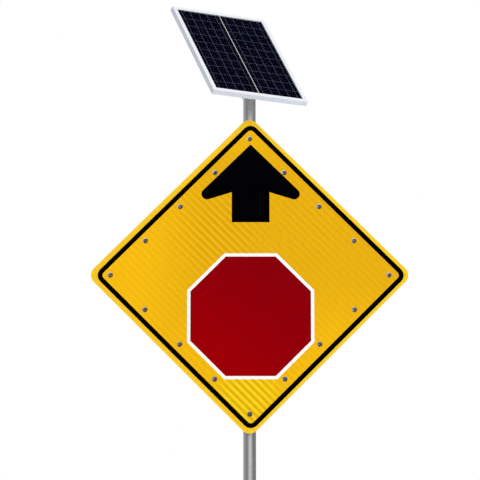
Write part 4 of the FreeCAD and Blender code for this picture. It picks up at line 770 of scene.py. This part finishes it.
def make_control_trim():
    """Bezels round the controller's switch and button, and three lamps in rims between them."""
    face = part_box("charge_controller")[1].y
    lever, button = middle_of("switch_lever"), middle_of("test_button")
    pivot_z = joint("power_switch")["pos_m"][2]
    trim = bmesh.new()
    surround(trim, (lever.x - 9 * MM, pivot_z - 11 * MM, face),
             (lever.x + 9 * MM, pivot_z + 11 * MM, face + 1 * MM), 2 * MM, Matrix((ACROSS, UP, BACK)))
    turned(trim, Vector((button.x, face, button.z)), BACK, [
        (5.4 * MM, 0), (8 * MM, 0), (8 * MM, 0.8 * MM), (7.2 * MM, 1.2 * MM), (5.4 * MM, 1.2 * MM),
    ], closed=True)
    piece("control_surrounds", trim, "zinc_hardware", "root")
    lamps, rims = bmesh.new(), bmesh.new()
    for k in (-1, 0, 1):
        centre = Vector((k * 9 * MM, face, pivot_z + 1 * MM))
        turned(lamps, centre, BACK, [
            (1.6 * MM, -0.3 * MM), (1.6 * MM, 0.7 * MM), (1.4 * MM, 1.3 * MM), (0.9 * MM, 1.8 * MM),
            (0.1 * MM, 2.0 * MM),
        ], sides=16)
        turned(rims, centre, BACK, [
            (1.65 * MM, 0), (2.6 * MM, 0), (2.5 * MM, 0.6 * MM), (1.65 * MM, 0.6 * MM),
        ], sides=20, closed=True)
    piece("controller_lamps", lamps, "led_emitter", "root")
    piece("controller_lamp_rims", rims, "black_plastic", "root")


def make_terminals():
    """Screws in the controller's corners and in the terminal block's ways, with walls between the ways."""
    low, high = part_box("charge_controller")
    block_low, block_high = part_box("terminal_block")
    block = middle_of("terminal_block")
    ways, way = 8, 12.5 * MM
    screws, walls = bmesh.new(), bmesh.new()
    for x in (low.x + 6 * MM, high.x - 6 * MM):
        for z in (low.z + 6 * MM, high.z - 6 * MM):
            screw_head(screws, Vector((x, high.y, z)), BACK, 2.8 * MM)
    for k in range(ways):
        x = block.x + (k - (ways - 1) / 2) * way
        screw_head(screws, Vector((x, block_high.y - 8 * MM, block.z)), BACK, 3.4 * MM)
    piece("controller_screws", screws, "zinc_hardware", "root")
    for k in range(ways + 1):
        x = block.x + (k - ways / 2) * way
        brick(walls, (x - 0.6 * MM, block_high.y, block_low.z),
              (x + 0.6 * MM, block_high.y + 2.5 * MM, block_high.z))
    piece("terminal_walls", walls, "controller_case", "root", round_over=0.3 * MM)


def make_battery_details():
    """The battery's cover plate and rim, and a coloured boot at the foot of each tab."""
    low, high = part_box("battery")
    # The lid's height: the tabs, which stand higher, are at the back.
    top = max(p.z for p in loose_parts("battery")[0] if p.y < low.y + 30 * MM)
    cover = bmesh.new()
    brick(cover, (low.x + 8 * MM, low.y + 5 * MM, top), (high.x - 8 * MM, high.y - 19 * MM, top + 1.5 * MM))
    for k in range(6):
        x = (low.x + high.x) / 2 + (k - 2.5) * 20 * MM
        turned(cover, Vector((x, low.y + 26 * MM, top + 1.5 * MM)), UP,
               [(6 * MM, 0), (6 * MM, 0.8 * MM), (5.4 * MM, 1.2 * MM), (0.2 * MM, 1.2 * MM)])
    piece("battery_cover", cover, "black_plastic", "root", round_over=0.5 * MM)
    rim = bmesh.new()
    proud = 0.4 * MM
    surround(rim, (low.x - proud, low.y - proud, top - 12 * MM),
             (high.x + proud, high.y + proud, top - 10 * MM), 3 * MM)
    piece("battery_rim", rim, "black_plastic", "root", round_over=0.4 * MM)
    for side, slot in ((-1, "red_button"), (1, "controller_case")):
        boot = bmesh.new()
        x = (low.x + high.x) / 2 + side * 60 * MM
        surround(boot, (x - 7 * MM, high.y - 17 * MM, top),
                 (x + 7 * MM, high.y - 1.5 * MM, top + 2.2 * MM), 2.2 * MM)
        piece("battery_boot_" + ("left" if side < 0 else "right"), boot, slot, "root", round_over=0.4 * MM)


def make_cabinet_details():
    """Pan-head screws that hold the equipment plate and the battery strap's ears."""
    low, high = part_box("equipment_plate")
    strap_low, strap_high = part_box("battery_strap")
    mesh = bmesh.new()
    for x in (low.x + 8 * MM, high.x - 8 * MM):
        for z in (high.z - 8 * MM, strap_high.z + 12 * MM):
            screw_head(mesh, Vector((x, high.y, z)), BACK, 4 * MM)
    for x in (strap_low.x + 5 * MM, strap_high.x - 5 * MM):
        for z in (strap_low.z + 12 * MM, strap_high.z - 12 * MM):
            screw_head(mesh, Vector((x, strap_low.y + 1.5 * MM, z)), BACK, 3.2 * MM)
    piece("plate_screws", mesh, "zinc_hardware", "root")


def make_rivet_mandrels():
    """The broken mandrel that shows in the middle of each blind rivet's head at the back."""
    mesh = bmesh.new()
    for points in loose_parts("blind_rivets"):
        low, high = corners_in(points)
        middle = (low + high) / 2
        turned(mesh, Vector((middle.x, high.y, middle.z)), BACK, [
            (1.9 * MM, 0), (1.9 * MM, 0.35 * MM), (0.8 * MM, 0.6 * MM), (0.75 * MM, 1.1 * MM),
            (0.1 * MM, 1.1 * MM),
        ], sides=12)
    piece("rivet_mandrels", mesh, "zinc_hardware", "root")


# The radius of the rounded edges, in mm, and the CAD nodes that have it.
SOFTENED = {
    1.0: ["mast_collar", "cabinet_body"],
    0.7: ["tilt_yoke", "tilt_bracket", "panel_frame_bottom", "panel_frame_top", "panel_frame_left",
          "panel_frame_right", "battery", "junction_box", "junction_box_lid", "charge_controller"],
    0.5: ["post", "sign_rail_upper", "sign_rail_lower", "cabinet_rails", "cross_rail_upper",
          "cross_rail_lower", "post_clips", "equipment_plate", "battery_strap", "terminal_block",
          "cable_glands", "cabinet_door", "wire_channel_upper_left", "wire_channel_upper_right",
          "wire_channel_lower_left", "wire_channel_lower_right", "door_gasket", "collar_screws",
          "latch_bushing", "latch_cam"],
    0.4: ["sign_blank", "clip_bolts", "cabinet_bolts", "pivot_bolt", "lock_bolt", "cap_bolt", "panel_bolts",
          "led_bezels", "led_nuts", "hinge_barrels_cabinet", "hinge_barrels_door", "hinge_pins"],
}

make_glass()
make_ribbons()
make_junction_details()
make_bracket_welds()
make_hinge_welds()
make_control_trim()
make_terminals()
make_battery_details()
make_cabinet_details()
make_rivet_mandrels()
make_threads()
# The slots in the charge controller's face shade badly when its flat faces are joined.
for width, names in SOFTENED.items():
    for name in names:
        soften(NODES[name], width * MM, join_flats=name != "charge_controller")


# ---------------------------------------------------------------- stage, light and camera


# The camera's distance, its upward slope, the width that it sees at the sign, and how far its aim is
# from the sign's centre, in metres; the sensor is in mm.
SIGHT_DISTANCE = 9.0
SIGHT_RISE = math.radians(10)
SIGHT_WIDTH = 1.9186
AIM_ACROSS, AIM_UP = -0.038, 0.148
SENSOR = 36.0

# What shiny surfaces see: azimuth to the right of the camera's side, elevation, full and fading
# half-widths in degrees, and brightness, over an even dim room.
STUDIO_DIM = 0.25
SOFT_BOXES = [
    (8, 8, 2, 44, 0.85),
    (-150, 15, 5, 90, 0.42),
    (-35, 62, 5, 38, 0.9),
]


def make_camera():
    """A long lens a little below the sign, looking slightly up at it."""
    ahead = Vector((0, math.cos(SIGHT_RISE), math.sin(SIGHT_RISE)))
    upward = Vector((0, -math.sin(SIGHT_RISE), math.cos(SIGHT_RISE)))
    target = Vector((AIM_ACROSS, 0, SIGN_CENTRE.z)) + AIM_UP * upward
    data = bpy.data.cameras.new("camera")
    data.sensor_width = SENSOR
    data.lens = SENSOR * SIGHT_DISTANCE / SIGHT_WIDTH
    camera = bpy.data.objects.new("camera", data)
    bpy.context.scene.collection.objects.link(camera)
    camera.location = target - SIGHT_DISTANCE * ahead
    camera.rotation_euler = ahead.to_track_quat("-Z", "Y").to_euler()
    bpy.context.scene.camera = camera


def make_light(name, place, target, size, power):
    """A soft rectangular light that shiny surfaces don't see."""
    data = bpy.data.lights.new(name, "AREA")
    data.shape = "RECTANGLE"
    data.size, data.size_y = size
    data.energy = power
    light = bpy.data.objects.new(name, data)
    bpy.context.scene.collection.objects.link(light)
    light.location = place
    light.rotation_euler = (Vector(target) - Vector(place)).to_track_quat("-Z", "Y").to_euler()
    light.visible_glossy = False


def make_world():
    """White to the eye, even for soft light; shiny things see soft boxes round a dim studio."""
    world = bpy.data.worlds.new("studio")
    bpy.context.scene.world = world
    world.use_nodes = True
    tree = world.node_tree
    tree.nodes.clear()

    def new(kind, **settings):
        node = tree.nodes.new(kind)
        for key, value in settings.items():
            setattr(node, key, value)
        return node

    def link(source, target):
        tree.links.new(source, target)

    sight = new("ShaderNodeTexCoord").outputs["Generated"]
    total = STUDIO_DIM
    for azimuth, elevation, inner, outer, gain in SOFT_BOXES:
        azimuth, elevation = math.radians(azimuth), math.radians(elevation)
        toward = (math.sin(azimuth) * math.cos(elevation), -math.cos(azimuth) * math.cos(elevation),
                  math.sin(elevation))
        facing = new("ShaderNodeVectorMath", operation="DOT_PRODUCT")
        link(sight, facing.inputs[0])
        facing.inputs[1].default_value = toward
        glow = new("ShaderNodeMapRange", interpolation_type="SMOOTHSTEP")
        link(facing.outputs["Value"], glow.inputs[0])
        limits = (math.cos(math.radians(outer)), math.cos(math.radians(inner)), 0.0, gain)
        for socket, value in zip(list(glow.inputs)[1:5], limits):
            socket.default_value = value
        add = new("ShaderNodeMath", operation="ADD")
        if isinstance(total, float):
            add.inputs[0].default_value = total
        else:
            link(total, add.inputs[0])
        link(glow.outputs[0], add.inputs[1])
        total = add.outputs[0]

    rays = new("ShaderNodeLightPath")
    soft, shiny, white = (new("ShaderNodeBackground") for _ in range(3))
    soft.inputs["Color"].default_value = (0.97, 0.985, 1.0, 1.0)
    soft.inputs["Strength"].default_value = 0.62
    link(total, shiny.inputs["Strength"])
    for_gloss, for_eye = new("ShaderNodeMixShader"), new("ShaderNodeMixShader")
    link(rays.outputs["Is Glossy Ray"], for_gloss.inputs[0])
    link(soft.outputs[0], for_gloss.inputs[1])
    link(shiny.outputs[0], for_gloss.inputs[2])
    link(rays.outputs["Is Camera Ray"], for_eye.inputs[0])
    link(for_gloss.outputs[0], for_eye.inputs[1])
    link(white.outputs[0], for_eye.inputs[2])
    for background in (shiny, white):
        background.inputs["Color"].default_value = (1, 1, 1, 1)
    link(for_eye.outputs[0], new("ShaderNodeOutputWorld").inputs["Surface"])


def make_floor():
    """A pale round floor under the post's foot."""
    radius, thickness, sides = 2.0, 0.01, 96
    mesh = bmesh.new()
    bmesh.ops.create_circle(mesh, cap_ends=True, segments=sides, radius=radius)
    for vertex in mesh.verts:
        vertex.co.z = -thickness
    top = bmesh.ops.extrude_face_region(mesh, geom=mesh.faces[:])["geom"]
    for item in top:
        if isinstance(item, bmesh.types.BMVert):
            item.co.z = 0.0
    bmesh.ops.recalc_face_normals(mesh, faces=mesh.faces[:])
    data = bpy.data.meshes.new("floor")
    mesh.to_mesh(data)
    mesh.free()
    floor = bpy.data.objects.new("floor", data)
    bpy.context.scene.collection.objects.link(floor)
    data.materials.append(moulded("floor_paint", (0.8, 0.8, 0.8), (0.84, 0.84, 0.84), 0.6))


make_camera()
make_world()
make_floor()
make_light("key", (-3.0, -5.5, 4.2), (0, 0, 1.1), (3.5, 3.0), 85)
make_light("front", (2.2, -6.0, 3.2), (0, 0, 1.3), (2.5, 2.5), 95)
make_light("fill", (4.5, -5.0, 2.0), (0, 0, 1.1), (1.2, 3.0), 80)
make_light("back", (1.5, 5.0, 4.0), (0, 0, 1.1), (3.0, 2.5), 120)
bpy.context.scene.view_settings.view_transform = "Standard"
